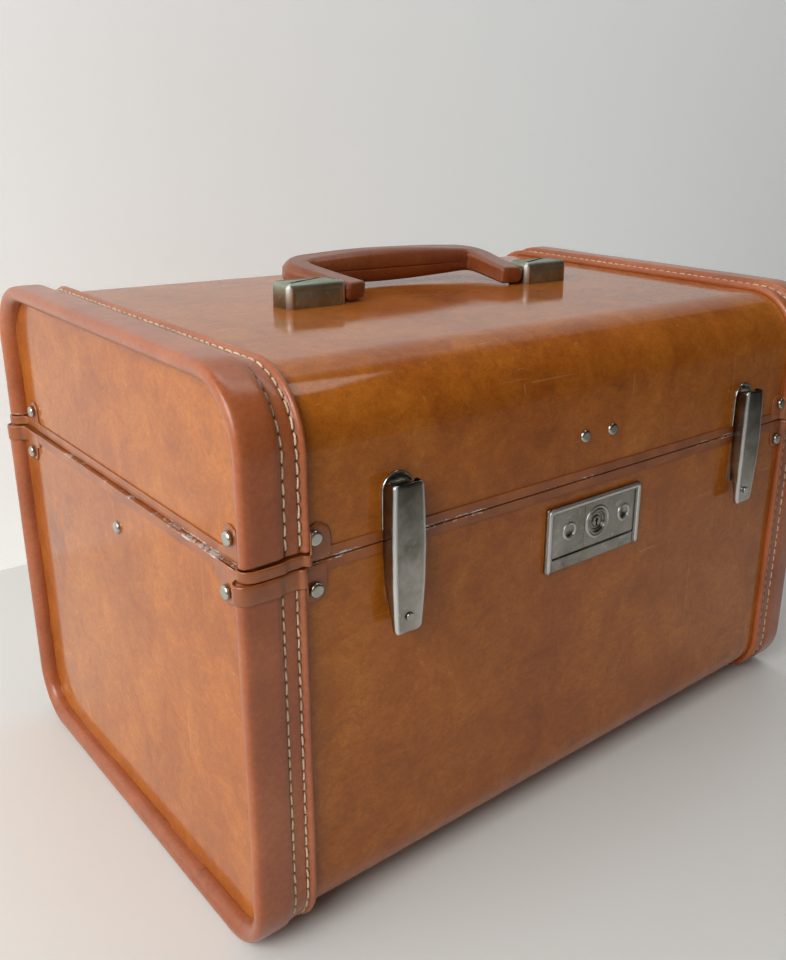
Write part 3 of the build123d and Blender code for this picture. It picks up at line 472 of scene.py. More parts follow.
def tray_material():
    """Moulded cream plastic with a light texture and rubbed edges."""
    n = Nodes("tray_plastic")
    here = n.place()
    colour = n.ramp(n.noise(here, 24, 5, 0.6), (0.3, (0.56, 0.44, 0.28)), (0.7, (0.70, 0.58, 0.40)))
    dirt_and_recess_shade = n.ramp(n.noise(here, 330, 4, 0.7), (0.62, 0.0), (0.75, 0.35))
    colour = n.mix(dirt_and_recess_shade, colour, (0.36, 0.25, 0.14))
    return n.set(Base_Color=colour, Roughness=n.scaled(n.noise(here, 90, 3), 0.34, 0.5),
                 Normal=n.bump(n.noise(here, 1400, 2), 0.05, 0.5, n.soft_edges(0.8)))


def mirror_material():
    """Silvered glass with a little haze and speckling near its edge."""
    n = Nodes("mirror_glass")
    here = n.place()
    haze = n.ramp(n.noise(here, 30, 5, 0.6), (0.45, 0.0), (0.8, 1.0))
    age = n.ramp(n.noise(here, 600, 3, 0.7), (0.70, 0.0), (0.80, 0.5))
    colour = n.mix(age, (0.90, 0.91, 0.91), (0.30, 0.27, 0.22))
    return n.set(Base_Color=colour, Metallic=1.0, Roughness=n.scaled(haze, 0.015, 0.07))


MAT = {
    "panel": panel_material(),
    "leather": leather_material(),
    "handle": leather_material("handle_leather", 0.62),
    "nickel": nickel_material(),
    "plate": nickel_material("plate_nickel", 0.8, 0.5, 2.6, tone=(0.70, 0.69, 0.70)),
    "lever": nickel_material("lever_nickel", 0.4, 0.7, 1.2, (125, 180), tone=(0.82, 0.81, 0.82)),
    "bracket": nickel_material("bracket_nickel", 0.5, 0.8, 1.6, dull=0.24,
                               tone=(0.74, 0.82, 0.72)),
    "rivet": nickel_material("rivet_nickel", 0.15, 0.7),
    "steel": steel_material(),
    "lid_edge": edge_material("lid_edge_metal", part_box("lid_edge_channel")[0].z / MM, 1),
    "base_edge": edge_material("base_edge_metal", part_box("base_edge_channel")[1].z / MM, -1),
    "strap": strap_material(),
    "thread": thread_material(),
    "lining": lining_material(),
    "board": board_material(),
    "tray": tray_material(),
    "mirror": mirror_material(),
}


def paint_cad():
    """Gives every CAD node its material."""
    by_slot = {"panel_covering": "panel", "binding_leather": "leather", "nickel": "nickel",
               "steel": "steel", "lining_fabric": "lining", "board": "board",
               "tray_plastic": "tray", "mirror_glass": "mirror", "edge_metal": "lid_edge"}
    slots = {s["node"]: s["material_slot"] for s in frame["record"]["subparts"]}
    for name, obj in frame["nodes"].items():
        key = by_slot[slots[name]]
        if name == "base_edge_channel":
            key = "base_edge"
        if "rivet" in name:
            key = "rivet"
        if name in ("lock_plate", "lock_slide", "key_cylinder"):
            key = "plate"
        obj.data.materials.clear()
        obj.data.materials.append(MAT[key])


# ------------ leather bindings
# Section of the right binding: distance beyond the end panel, share of the roll outline
# (the rest is the shell outline), and distance along the outline's normal.
ROLL_SECTION = [(-0.2, 1, -LIP), (1.6, 1, -LIP), (3.3, 1, -6.9), (4.7, 1, -5.9), (5.6, 1, -4.4),
                (5.95, 1, -2.9), (5.7, 1, -1.5), (4.8, 1, -0.55), (3.2, 1, -0.12), (1.0, 1, 0),
                (-3.0, 1, 0), (-6.4, 1, -0.08), (-8.0, 1, -0.4), (-8.9, 0.7, 0.1)]
FLANGE_SECTION = [(-9.6, 0, 1.75), (-10.6, 0, 1.62), (-12.2, 0, 1.70), (-14.2, 0, 1.65),
                  (-15.6, 0, 1.45), (-16.2, 0, 1.75), (-16.8, 0, 2.55), (-17.6, 0, 2.95),
                  (-18.4, 0, 2.65), (-18.9, 0, 1.85), (-19.0, 0, 0.9), (-18.8, 0, 0.05)]
INSIDE_SECTION = [(0.02, 0, 0.05), (0.02, 1, -LIP)]
ROW_OFFSETS = (-9.8, -15.3)    # stitch rows, measured like the section
STITCH = 4.9                   # length of a stitch
STITCH_GAP = 0.35              # thread hidden at each end of a stitch
ROW_LIFTS = (1.55, 1.45)       # height of the leather under each row
THREAD_R = 0.36
SCUFF_HEIGHT = 26.0            # the roll is worn from the ground up to here
SAMPLE = 0.7                   # step along an outline
ARC_STEPS = 52                 # steps in each rounded corner of an outline


def end_view(size, start_z, upward):
    """(y, z, normal y, normal z) along one outline, from the front to the back."""
    half = size["half_y"]
    radius = size["top_r"] if upward else size["low_r"]
    level = size["high"] if upward else size["low"]
    sign = 1 if upward else -1
    centre_z = level - sign * radius
    wall = max(2, int(abs(SHELL["high" if upward else "low"] - start_z) / SAMPLE))
    flat = int(2 * SHELL["half_y"] / SAMPLE * 0.8)
    points = []
    for t in np.linspace(0, 1, wall, endpoint=False):
        points.append((-half, start_z + (centre_z - start_z) * t, -1, 0))
    for a in np.linspace(0, math.pi / 2, ARC_STEPS, endpoint=False):
        ny, nz = -math.cos(a), sign * math.sin(a)
        points.append((-half + radius + ny * radius, centre_z + nz * radius, ny, nz))
    for t in np.linspace(-1, 1, flat, endpoint=False):
        points.append(((half - radius) * t, level, 0, sign))
    for a in np.linspace(math.pi / 2, 0, ARC_STEPS, endpoint=False):
        ny, nz = math.cos(a), sign * math.sin(a)
        points.append((half - radius + ny * radius, centre_z + nz * radius, ny, nz))
    for t in np.linspace(1, 0, wall):
        points.append((half, start_z + (centre_z - start_z) * t, 1, 0))
    return np.array(points)


def stitch_holes(length, seed):
    """Distances of the needle holes along one row."""
    rng = random.Random(seed)
    holes = [2.2]
    while holes[-1] < length - STITCH - 2:
        holes.append(holes[-1] + STITCH * rng.uniform(0.86, 1.14))
    return np.array(holes)


class Wrap:
    """One binding: its two outlines, its length and its stitch holes."""

    def __init__(self, half_x, start_z, upward, side, seed):
        self.half_x, self.side = half_x, side
        self.roll = end_view(ROLL, start_z, upward)
        self.shell = end_view(SHELL, start_z, upward)
        steps = np.linalg.norm(np.diff(self.shell[:, :2], axis=0), axis=1)
        self.along = np.concatenate([[0], np.cumsum(steps)])
        self.rows = [stitch_holes(self.along[-1], seed + k) for k in (0, 1)]
        rng = np.random.default_rng(seed)
        self.waves = [(rng.uniform(0.02, 0.16), rng.uniform(0, 6.28)) for _ in range(5)]

    def point(self, i, u, share, lift):
        """Point on the section u at sample i, in millimetres."""
        base = self.shell[i, :2] * (1 - share) + self.roll[i, :2] * share
        y, z = base + self.shell[i, 2:] * lift
        return (self.side * (self.half_x + u), y, z)

    def unevenness(self, i, u):
        """Small lumps along the wrap, as stretched leather has."""
        s = self.along[i]
        return 0.035 * sum(math.sin(s * f + p + u * 0.25) for f, p in self.waves)

    def needle(self, i, u):
        """How close a point is to a needle hole, 0 to 1."""
        close = 0.0
        for offset, holes in zip(ROW_OFFSETS, self.rows):
            gap = np.min(np.abs(holes - self.along[i]))
            close += math.exp(-((u - offset) / 0.42) ** 2 - (gap / 0.50) ** 2)
        return min(1.0, close)

    def furrow(self, u):
        """The thread pulls the leather down along each row."""
        return sum(math.exp(-((u - offset) / 0.8) ** 2) for offset in ROW_OFFSETS)


def wrap_mesh(name, wrap, body, node):
    """The leather of one binding as a closed mesh."""
    outside = spline(ROLL_SECTION + FLANGE_SECTION, 4)
    section = [tuple(p) for p in outside] + INSIDE_SECTION
    columns = len(section)
    verts, needle, rub = [], [], []
    last = len(wrap.along) - 1
    for i in range(last + 1):
        edge = min(wrap.along[i], wrap.along[last] - wrap.along[i])
        tuck = 0.6 * max(0.0, 1 - edge / 1.2) ** 2
        for j, (u, share, lift) in enumerate(section):
            hole = 0.0
            if j < len(outside) - 2:
                hole = wrap.needle(i, u) if u < -8.5 else 0.0
                lift += wrap.unevenness(i, u) - 0.22 * wrap.furrow(u) - 0.45 * hole - tuck
            verts.append(wrap.point(i, u, share, lift))
            needle.append(hole)
            rub.append(scuff_at(verts[-1], u))
    obj = new_object(name, verts, tube_faces(last + 1, columns), MAT["leather"])
    # closeness to the needle holes, read by the leather as painted shade in the holes
    set_attribute(obj, "needle", needle)
    set_attribute(obj, "rub", rub)
    attach(obj, body, "binding_leather", node)


def scuff_at(point, u):
    """Wear on the roll: strongest at the low front left corner, light at the others."""
    x, y, z = point
    if u < -7:
        return 0.0
    low = max(0.0, 1 - z / SCUFF_HEIGHT)
    front_left = 1.0 if (x < 0 and y < 0) else 0.35
    return low * front_left


def stitch_mesh(name, wrap, body):
    """Both rows of thread: one raised, slightly twisted loop for each stitch."""
    rng = random.Random(name)
    verts, faces = [], []
    around, length_steps = 8, 9
    for offset, lift, holes in zip(ROW_OFFSETS, ROW_LIFTS, wrap.rows):
        for start, end in zip(holes[:-1], holes[1:]):
            first = len(verts)
            radius = THREAD_R * rng.uniform(0.92, 1.1)
            drift = rng.uniform(-0.18, 0.18)
            phase = rng.uniform(0, 3.14)
            for k in range(length_steps):
                t = k / (length_steps - 1)
                s = start + STITCH_GAP + (end - start - 2 * STITCH_GAP) * t
                arch = min(1.0, 1.7 * math.sin(math.pi * t)) ** 0.7
                taper = 0.55 + 0.45 * arch
                centre = lift - 0.55 + 0.72 * arch
                for c in range(around):
                    angle = 2 * math.pi * c / around
                    ply = 1 + 0.16 * math.cos(2 * (angle - phase - 2.4 * s))
                    r = radius * taper * ply
                    u = offset + drift * (2 * t - 1) + r * math.cos(angle)
                    verts.append(surface_point(wrap, s, u, centre + r * math.sin(angle)))
            faces += tube_faces(length_steps, around, first)
    obj = new_object(name, verts, faces, MAT["thread"])
    attach(obj, body, "binding_leather")


def surface_point(wrap, s, u, lift):
    """Point at distance s along the wrap, over the shell outline."""
    row = [np.interp(s, wrap.along, wrap.shell[:, k]) for k in range(4)]
    y = row[0] + row[2] * lift
    z = row[1] + row[3] * lift
    return (wrap.side * (wrap.half_x + u), y, z)


def build_bindings():
    for side, word in ((-1, "left"), (1, "right")):
        lid = Wrap(LID_HALF_X, LID_CUT, True, side, 11 + side)
        base = Wrap(BASE_HALF_X, BASE_CUT, False, side, 31 + side)
        wrap_mesh(f"lid_wrap_{word}", lid, "lid", f"lid_binding_{word}")
        wrap_mesh(f"base_wrap_{word}", base, "case_base", f"base_binding_{word}")
        stitch_mesh(f"lid_stitching_{word}", lid, "lid")
        stitch_mesh(f"base_stitching_{word}", base, "case_base")


# ------------ corner straps
# Outer face of a strap in plan, from its tail on the long wall to its tail on the end
# panel: distance beyond the end panel, and distance beyond the long wall.
STRAP_PATH = [(-28.2, 0.75), (-21.0, 0.78), (-19.9, 1.1), (-19.3, 2.4), (-18.7, 3.35),
              (-17.6, 3.75), (-16.5, 3.2), (-15.6, 2.5), (-13.0, 2.45), (-10.4, 2.5),
              (-9.3, 3.0), (-8.0, 3.45), (-5.0, 3.6), (-1.0, 3.65), (1.4, 3.6), (3.6, 3.2),
              (5.3, 2.3), (6.3, 0.9), (6.65, -0.8), (6.2, -2.5), (5.0, -3.9), (3.2, -4.9),
              (1.7, -5.6), (0.95, -6.8), (0.75, -9.0), (0.75, -25.2)]
STRAP_THICK = 0.75
LOBE_R = 4.8
LOBE_FRONT = -23.0             # rivet on the long wall, beyond the end panel
LOBE_END = -16.2               # rivet on the end panel, beyond the long wall
# Across the strap: share of its height, and how deep the face lies in thicknesses.
STRAP_ROWS = ((0, -1.0), (0, -0.25), (0.09, 0), (0.25, 0), (0.5, 0), (0.75, 0), (0.91, 0),
              (1, -0.25), (1, -1.0))


def strap_edge(point, flat, rivet_z):
    """Height of one edge of the strap above a point of its path."""
    u, d = point
    reach = None
    if u < -18.9:
        reach = abs(u - LOBE_FRONT)
    elif d < -7.5:
        reach = abs(d - LOBE_END)
    if reach is None or reach >= LOBE_R + 2:
        return flat
    way = 1 if rivet_z > flat else -1
    lobe = rivet_z + way * math.sqrt(max(0.0, LOBE_R ** 2 - reach ** 2))
    if reach > LOBE_R:
        fade = (LOBE_R + 2 - reach) / 2
        return flat + way * 0.7 * fade ** 2
    return way * max(way * lobe, way * flat + 0.7)


def strap_mesh(name, half_x, band, rivet_z, body, node):
    """Four ribbons round the corners, each with a lobe under its two rivets."""
    path, _ = resample(spline(STRAP_PATH, 5), 0.55)
    normal = sideways(path)
    low, high = band
    up = rivet_z > high
    verts, faces = [], []
    for sx in (-1, 1):
        for sy in (-1, 1):
            first = len(verts)
            for i, (u, d) in enumerate(path):
                z0 = low if up else strap_edge((u, d), low, rivet_z)
                z1 = strap_edge((u, d), high, rivet_z) if up else high
                edge = min(i, len(path) - 1 - i)
                trim = (0.9, 0.35, 0.1)[edge] if edge < 3 else 0.0
                for share, sink in STRAP_ROWS:
                    depth = STRAP_THICK * sink - (0.3 if edge == 0 else 0)
                    x = half_x + u + normal[i, 0] * depth
                    y = SHELL["half_y"] + d + normal[i, 1] * depth
                    z = z0 + trim + (z1 - z0 - 2 * trim) * share
                    verts.append((sx * x, sy * y, z))
            faces += tube_faces(len(path), len(STRAP_ROWS), first)
    obj = new_object(name, verts, faces, MAT["strap"])
    attach(obj, body, "binding_leather", node)


def build_straps():
    """Lobes point up on the lid and down on the base."""
    lid_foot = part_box("lid_corner_straps")[0].z / MM
    base_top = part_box("base_corner_straps")[1].z / MM
    lid_rivet = sum(c.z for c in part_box("lid_corner_rivets")) / 2 / MM
    base_rivet = sum(c.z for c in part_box("base_corner_rivets")) / 2 / MM
    lid_top = LID_CUT - 0.6
    base_foot = base_rivet + 2.8
    strap_mesh("lid_straps", LID_HALF_X, (lid_foot, lid_top), lid_rivet,
               "lid", "lid_corner_straps")
    strap_mesh("base_straps", BASE_HALF_X, (base_foot, base_top), base_rivet,
               "case_base", "base_corner_straps")


# ------------ handle
def pivot(name):
    """Place of a joint's axis, in millimetres."""
    joint = next(j for j in frame["joints"] if j["name"] == name)
    return [c / MM for c in joint["pos_m"]]


HANDLE_AXIS_Z = pivot("handle_swing")[2]
HANDLE_TILT = math.radians(7.4)
# The grip seen from above its own plane: along the case, and away from the pivot.
HANDLE_PLAN = [(-48.5, -5.2), (-62.0, 36.0), (54.0, 35.0), (48.5, -5.2)]
HANDLE_BEND = 11.0             # inside radius of its two corners
GRIP_WIDE = (6.7, 1.5)         # half width at the ends, and what the middle adds
GRIP_THICK = (4.2, 4.0)        # half thickness, likewise
GRIP_END = 1.8                 # length over which each end is rounded off
# Section of the grip: across the bar (outwards positive) and through it, as shares of
# the half width and half thickness.
GRIP_SECTION = [(1.0, 0.0), (0.86, 0.42), (0.56, 0.86), (0.16, 1.0), (-0.34, 0.98),
                (-0.72, 0.78), (-0.93, 0.42), (-0.97, 0.06), (-0.90, -0.03), (-0.97, -0.12),
                (-0.92, -0.50), (-0.70, -0.84), (-0.30, -1.0), (0.20, -1.0), (0.60, -0.84),
                (0.88, -0.42)]


def rounded_path(points, radius, step):
    """Polyline with its inner corners rounded, at equal steps."""
    pts = [np.array(p, float) for p in points]
    out = [pts[0]]
    for before, corner, after in zip(pts, pts[1:], pts[2:]):
        a = (before - corner) / np.linalg.norm(before - corner)
        b = (after - corner) / np.linalg.norm(after - corner)
        half = math.acos(float(a @ b)) / 2
        reach = radius / math.tan(half)
        for t in np.linspace(0, 1, 14):
            p, q = corner + a * reach, corner + b * reach
            out.append(p * (1 - t) ** 2 + corner * 2 * t * (1 - t) * 0.9
                       + q * t ** 2 + corner * 0.1 * 2 * t * (1 - t))
    out.append(pts[-1])
    return resample(np.array(out), step)


def build_handle():
    """Stitched leather grip, fullest in the middle and rounded off at both ends."""
    path, along = rounded_path(HANDLE_PLAN, HANDLE_BEND, 0.8)
    outward = sideways(path)
    section = spline(GRIP_SECTION + GRIP_SECTION[:1], 4)[:-1]
    total = along[-1]
    rng = np.random.default_rng(5)
    creases = [(total * f + rng.uniform(-3, 3), rng.uniform(0.08, 0.2), rng.uniform(0.5, 1.0))
               for f in (0.2, 0.215, 0.235, 0.77, 0.785, 0.8, 0.25, 0.75)]
    lumps = [(rng.uniform(0.03, 0.12), rng.uniform(0, 6.28)) for _ in range(4)]
    verts = []
    for i, s in enumerate(along):
        t = s / total
        belly = math.sin(math.pi * t) ** 2
        half_wide = GRIP_WIDE[0] + GRIP_WIDE[1] * belly
        half_thick = GRIP_THICK[0] + GRIP_THICK[1] * belly
        square = 1 + 0.16 * (1 - belly)
        end = min(s, total - s)
        close = 0.76 + 0.24 * math.sqrt(1 - max(0.0, 1 - end / GRIP_END) ** 2)
        for p, q in section:
            dent = sum(depth * math.exp(-((s - place) / width) ** 2)
                       for place, depth, width in creases) * max(0.0, -p)
            lump = 0.05 * sum(math.sin(s * f + ph + 2 * p) for f, ph in lumps)
            across = max(-1, min(1, p * square)) * (half_wide + lump - dent) * close
            through = max(-1, min(1, q * square)) * (half_thick + lump) * close
            x, v = path[i] + outward[i] * across
            y = v * math.cos(HANDLE_TILT) - through * math.sin(HANDLE_TILT)
            z = HANDLE_AXIS_Z + v * math.sin(HANDLE_TILT) + through * math.cos(HANDLE_TILT)
            verts.append((x, y, z))
    obj = new_object("handle_grip_leather", verts, tube_faces(len(along), len(section)),
                     MAT["handle"])
    attach(obj, "handle", "binding_leather", "handle_grip")


BRACKET_CORNER = 2.6           # rounding of the upright edges
BRACKET_RIM = 2.3              # rounding of the top edges
BRACKET_HIGHLIGHT = 1.8             # width of the rubbed corners given a painted highlight
# Border line on each face: widths and depths of the steps, from the edge inwards.
BRACKET_BORDER = ((0.9, 0.0), (0.3, -0.10), (0.35, 0.0), (0.3, 0.09))


def build_brackets():
    """Stamped caps with rounded edges and a raised border line on each face."""
    for word in ("left", "right"):
        node = f"handle_bracket_{word}"
        low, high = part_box(node)
        size = (high - low) / MM
        centre = (high + low) / 2 / MM
        bm = bmesh.new()
        bmesh.ops.create_cube(bm, size=1.0)
        for v in bm.verts:
            v.co = Vector((v.co.x * size.x, v.co.y * size.y, v.co.z * size.z)) + centre
        upright = [e for e in bm.edges if abs(e.verts[0].co.z - e.verts[1].co.z) > 1]
        bmesh.ops.bevel(bm, geom=upright, offset=BRACKET_CORNER, segments=5, profile=0.5,
                        affect="EDGES")
        rim = [e for e in bm.edges if min(v.co.z for v in e.verts) > high.z / MM - 0.01]
        bmesh.ops.bevel(bm, geom=rim, offset=BRACKET_RIM, segments=5, profile=0.5,
                        affect="EDGES")
        flats = [f for f in bm.faces if f.calc_area() > 90 and f.normal.z > -0.5]
        for width, depth in BRACKET_BORDER:
            bmesh.ops.inset_individual(bm, faces=flats, thickness=width, depth=depth)
        for v in bm.verts:
            v.co *= MM
        mesh = bpy.data.meshes.new(f"bracket_cap_{word}")
        bm.to_mesh(mesh)
        bm.free()
        mesh.polygons.foreach_set("use_smooth", [True] * len(mesh.polygons))
        mesh.materials.append(MAT["bracket"])
        obj = bpy.data.objects.new(f"bracket_cap_{word}", mesh)
        reach = [(abs(v.co.x / MM - centre.x) - size.x / 2, abs(v.co.y / MM - centre.y) - size.y / 2)
                 for v in mesh.vertices]
        # painted highlight on the rubbed upright corners
        set_attribute(obj, "wear_and_highlight", [0.7 if min(gap) > -BRACKET_HIGHLIGHT else 0.0 for gap in reach])
        bpy.context.scene.collection.objects.link(obj)
        attach(obj, "lid", "nickel", node)


# ------------ latch levers
# Shares of the lever's height with its half width, and with the depth of its sides.
LEVER_WIDTH = [(0, 6.1), (0.12, 6.7), (0.35, 7.4), (0.6, 7.6), (0.85, 7.2), (1, 6.8)]
LEVER_SIDES = [(0, 1.7), (0.12, 2.6), (0.25, 4.6), (0.36, 6.1), (0.5, 6.5), (1, 6.5)]
LEVER_SHEET = 0.7
LEVER_BEND = 1.5               # radius between the face and the sides
LEVER_FOOT = 2.4               # height of the rounding at the lower end
LEVER_HEAD = 1.8               # and at the top
LEVER_HIGHLIGHT = {4: 0.5, 5: 1.0, 6: 1.0, 7: 0.35}     # rubbed and given a painted highlight, by place along the section


def lever_section(half, face, back, sheet, cavity):
    """Channel section: outer outline from one back edge to the other, then the inner."""
    bend = min(LEVER_BEND, 0.6 * (back - face))
    outer = [(-half, back), (-half, (back + face + 0.1 + bend) / 2)]
    for a in np.linspace(0, math.pi / 2, 6):
        outer.append((-half + LEVER_BEND * (1 - math.cos(a)),
                      face + 0.1 + bend * (1 - math.sin(a))))
    outer += [(-half + 2.0, face + 0.12), (-half + 2.5, face + 0.34), (0, face + 0.24)]
    outer += [(-x, y) for x, y in reversed(outer[:-1])]
    inner = []
    for x, y in reversed(outer):
        inside = min(back, y + sheet) if abs(x) < half - 0.1 else y
        inner.append((x * (half - LEVER_SHEET) / half, back + (inside - back) * cavity))
    return outer + inner


def lever_ring(h, length, face_y, joint_y, joint_h):
    """Section of a lever at height h, where its joint is at (joint_y, joint_h)."""
    t = h / length
    half = np.interp(t, *zip(*LEVER_WIDTH))
    sides = np.interp(t, *zip(*LEVER_SIDES))
    face = face_y + 0.5 - 0.7 * math.sin(math.pi * t)
    foot = max(0.0, 1 - h / LEVER_FOOT)
    head = max(0.0, 1 - (length - h) / LEVER_HEAD)
    foot_round = 1 - math.sqrt(1 - foot ** 2)
    head_round = 1 - math.sqrt(1 - head ** 2)
    round_end = math.sqrt(max(0.0, (length - joint_h) ** 2 - max(0.0, h - joint_h) ** 2))
    back = min(face + sides, joint_y + round_end)
    cavity = min(1.0, max(0.0, (h - 1.0) / 0.5))
    return lever_section(half - 2.2 * foot_round - 0.6 * head_round,
                         face + 0.9 * foot_round + 0.3 * head_round,
                         back, LEVER_SHEET * (1 - 0.5 * head), cavity)


def build_levers():
    """Stamped levers, open at the back and at the top, round which the pivot ears pass."""
    for word in ("left", "right"):
        node = f"latch_lever_{word}"
        low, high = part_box(node)
        centre = (low.x + high.x) / 2 / MM
        bottom, top = low.z / MM, high.z / MM
        length = top - bottom
        joint_y, joint_z = pivot(f"latch_{word}_hinge")[1:]
        heights = np.concatenate([np.linspace(0, 2.4, 9), np.linspace(3.2, length - 2.4, 48),
                                  length - np.linspace(1.8, 0, 8)])
        verts = []
        for h in heights:
            ring = lever_ring(h, length, low.y / MM, joint_y, joint_z - bottom)
            verts += [(centre + x, y, bottom + h) for x, y in ring]
        obj = new_object(f"lever_cover_{word}", verts, tube_faces(len(heights), len(ring)),
                         MAT["lever"])
        outer = len(ring) // 2
        # painted highlight along the rubbed bends between the face and the sides
        edges = [LEVER_HIGHLIGHT.get(min(k, outer - 1 - k), 0.0) if k < outer else 0.0
                 for k in range(len(ring))]
        set_attribute(obj, "wear_and_highlight", edges * len(heights))
        attach(obj, f"latch_{word}", "nickel", node)


# ------------ lock plate moulding
MOULDING_INSET = 1.15          # middle of the moulding, from the edge of the plate
MOULDING_R = 1.1
DIMPLE_X = 17.7                # distance of each dimple from the key cylinder
DIMPLE_R = 3.5
COLLAR = 0.6                   # collar of the key cylinder above the face of the slide


def build_moulding():
    """Half-round rim along the left, top and right of the lock plate."""
    low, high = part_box("lock_plate")
    x0, x1, z0, z1 = low.x / MM, high.x / MM, low.z / MM, high.z / MM
    face = low.y / MM
    left, right, top = x0 + MOULDING_INSET, x1 - MOULDING_INSET, z1 - MOULDING_INSET
    corners = [(left, z0 + 0.3), (left, top), (right, top), (right, z0 + 0.3)]
    path, _ = rounded_path(corners, 1.6, 0.5)
    side = sideways(path)
    verts = []
    angles = np.linspace(0, math.pi, 9)
    for i in range(len(path)):
        close = 1 if 1 < i < len(path) - 2 else 0.6
        for a in angles:
            x, z = path[i] + side[i] * MOULDING_R * math.cos(a) * close
            verts.append((x, face + 0.25 - 0.8 * math.sin(a) * close, z))
    obj = new_object("lock_moulding", verts, tube_faces(len(path), len(angles)), MAT["plate"])
    # painted highlight over the whole moulding
    set_attribute(obj, "wear_and_highlight", [0.8] * len(verts))
    attach(obj, "case_base", "nickel")


# Section of a ring: distance outwards from its middle radius, and height.
RING_PROFILE = [(-0.75, -0.2), (-0.72, 0.25), (-0.45, 0.52), (0.0, 0.60), (0.42, 0.42),
                (0.75, 0.05), (0.8, -0.2)]


def ring_mesh(name, centre, face, radius, body):
    """Raised round rim on the lock, seen from the front at (x, z)."""
    around = 40
    verts = []
    for k in range(around):
        angle = 2 * math.pi * k / around
        for outward, proud in RING_PROFILE:
            r = radius + outward
            verts.append((centre[0] + r * math.cos(angle), face - proud,
                          centre[1] + r * math.sin(angle)))
    columns = len(RING_PROFILE)
    faces = tube_faces(around, columns, cap=False)
    last = (around - 1) * columns
    for j in range(columns):
        step = (j + 1) % columns
        faces.append((last + j, last + step, step, j))
    obj = new_object(name, verts, faces, MAT["plate"])
    # painted highlight over the whole ring
    set_attribute(obj, "wear_and_highlight", [0.6] * len(verts))
    attach(obj, body, "nickel")


def build_lock_rings():
    """Rims round the two dimples and round the key cylinder."""
    low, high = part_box("key_cylinder")
    key_x = (low.x + high.x) / 2 / MM
    key_z = (low.z + high.z) / 2 / MM
    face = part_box("lock_slide")[0].y / MM + COLLAR
    ring_mesh("dimple_ring_left", (key_x - DIMPLE_X, key_z), face, DIMPLE_R, "case_base")
    ring_mesh("dimple_ring_right", (key_x + DIMPLE_X, key_z), face, DIMPLE_R, "lock_slider")
    ring_mesh("key_ring", (key_x, key_z), face, (high.x - low.x) / 2 / MM + 2.0, "lock_slider")


# ------------ stage
CAMERA_PLACE = (-299.9, -365.9, 293.8)
CAMERA_YAW = 42.32             # degrees, like pitch and roll
CAMERA_PITCH = 18.80
CAMERA_ROLL = 1.61
CAMERA_LENS = 36.05
CAMERA_SHIFT = (-0.0898, -0.0188)
STAGE_REACH = (3.0, 2.5)       # metres either way along x and y, as the lights' places are
WALL_Y = 0.30
WALL_TOP = 2.6
WALL_GLOW = 0.27
WALL_PALE = (0.88, 0.89, 0.875)
TABLE_PALE = (0.74, 0.74, 0.71)
# colour in which the table's painted light falloff ends
TABLE_FALLOFF = (0.28, 0.275, 0.26)
ROOM_STRENGTH = 0.27


def stage_material(name, colour, falloff_colour, glow, back_axis):
    """Paper darkened with distance by a painted light falloff, and not seen from behind, along back_axis."""
    n = Nodes(name)
    coords = n.add("TexCoord").outputs["Object"]
    length = n.add("VectorMath", operation="LENGTH")
    n.link(coords, length.inputs[0])
    # painted light falloff: darker from near the middle of the stage out to the falloff colour
    tint = n.ramp(length.outputs["Value"], (0.42, colour), (0.85, falloff_colour))
    n.set(Base_Color=tint, Roughness=0.5, Specular_IOR_Level=0.3, Emission_Color=colour,
          Emission_Strength=glow)
    split = n.add("SeparateXYZ")
    n.link(n.add("NewGeometry").outputs["Incoming"], split.inputs[0])
    behind = split.outputs[back_axis]
    if back_axis == 2:
        behind = n.times(behind, -1.0)
    seen = n.add("LightPath").outputs["Is Camera Ray"]
    clear = n.times(n.maths("GREATER_THAN", behind, 0.0), seen)
    n.mix_shaders(clear, n.bsdf.outputs[0], n.add("BsdfTransparent").outputs[0],
                  "Material Output")
    return n.owner


def build_stage():
    """Pale table with a paler wall behind the case, each a line in y and z swept along x."""
    reach_x, reach_y = STAGE_REACH
    table = [(-reach_y, 0.0), (reach_y, 0.0)]
    wall = [(WALL_Y, 0.0), (WALL_Y, WALL_TOP)]
    looks = (("table", table, TABLE_PALE, TABLE_FALLOFF, 0.0, 2),
             ("wall", wall, WALL_PALE, WALL_PALE, WALL_GLOW, 1))
    for name, profile, colour, falloff_colour, glow, back_axis in looks:
        verts = [(x / MM, y / MM, z / MM) for x in (-reach_x, reach_x) for y, z in profile]
        paper = stage_material(f"{name}_paper", colour, falloff_colour, glow, back_axis)
        new_object(f"stage_{name}", verts, [(0, 1, 3, 2)], paper)


# Each light: name, place, the point it faces, size, power in watts and colour.
LIGHTS = (
    ("window", (-1.30, 0.02, 0.75), (0.0, 0.05, 0.12), (1.2, 1.3), 8.5, (1.0, 0.99, 0.97)),
    ("sill", (-0.90, -0.40, 0.70), (-0.45, -0.27, 0.0), (0.6, 0.6), 7, (1.0, 1.0, 1.0)),
    ("wall_wash", (0.40, -0.05, 1.5), (0.75, 0.30, 0.75), (1.0, 0.5), 4.5, (0.97, 0.985, 1.0)))


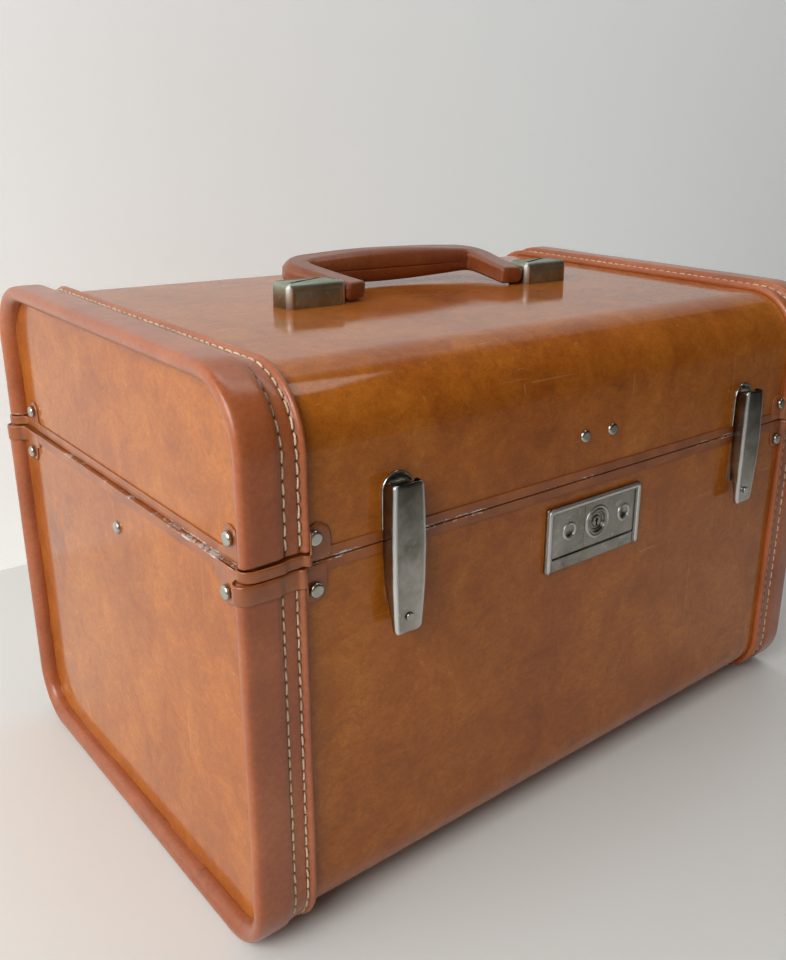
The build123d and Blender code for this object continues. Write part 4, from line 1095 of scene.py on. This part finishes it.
def area_light(name, place, target, size, power, colour):
    data = bpy.data.lights.new(name, "AREA")
    data.shape = "RECTANGLE"
    data.size, data.size_y = size
    data.energy = power
    data.color = colour
    obj = bpy.data.objects.new(name, data)
    obj.location = place
    direction = Vector(target) - Vector(place)
    obj.rotation_euler = direction.to_track_quat("-Z", "Y").to_euler()
    bpy.context.scene.collection.objects.link(obj)


def build_world():
    """Dim room, brighter on the window side, and a plain backdrop for the camera."""
    n = Nodes("room", "worlds")
    split = n.add("SeparateXYZ")
    n.link(n.add("TexCoord").outputs["Generated"], split.inputs[0])
    across = n.add("Math", operation="MULTIPLY_ADD")
    n.link(split.outputs["X"], across.inputs[0])
    for slot in (1, 2):
        across.inputs[slot].default_value = 0.5
    tint = n.ramp(across.outputs[0], (0.10, (0.95, 0.97, 1.0)), (0.75, (0.16, 0.14, 0.12)))
    room = n.tree.nodes["Background"]
    n.link(tint, room.inputs["Color"])
    room.inputs["Strength"].default_value = ROOM_STRENGTH
    backdrop = n.add("Background", Color=(0.50, 0.50, 0.49, 1))
    n.mix_shaders(n.add("LightPath").outputs["Is Camera Ray"], room.outputs[0],
                  backdrop.outputs[0], "World Output")
    bpy.context.scene.world = n.owner


def build_lights():
    """Window light from the left, a wash down the wall and the dim room."""
    for light in LIGHTS:
        area_light(*light)
    build_world()
    bpy.context.scene.view_settings.view_transform = "Standard"


def build_camera():
    data = bpy.data.cameras.new("photo_camera")
    data.lens = CAMERA_LENS
    data.clip_start = 0.01
    data.shift_x, data.shift_y = CAMERA_SHIFT
    camera = bpy.data.objects.new("photo_camera", data)
    yaw, pitch, roll = (math.radians(a) for a in (CAMERA_YAW, CAMERA_PITCH, CAMERA_ROLL))
    turn = (Matrix.Rotation(-yaw, 4, "Z") @ Matrix.Rotation(math.pi / 2 - pitch, 4, "X")
            @ Matrix.Rotation(roll, 4, "Z"))
    camera.matrix_world = Matrix.Translation([c * MM for c in CAMERA_PLACE]) @ turn
    bpy.context.scene.collection.objects.link(camera)
    bpy.context.scene.camera = camera


paint_cad()
build_bindings()
build_straps()
build_handle()
build_brackets()
build_levers()
build_moulding()
build_lock_rings()
build_stage()
build_lights()
build_camera()
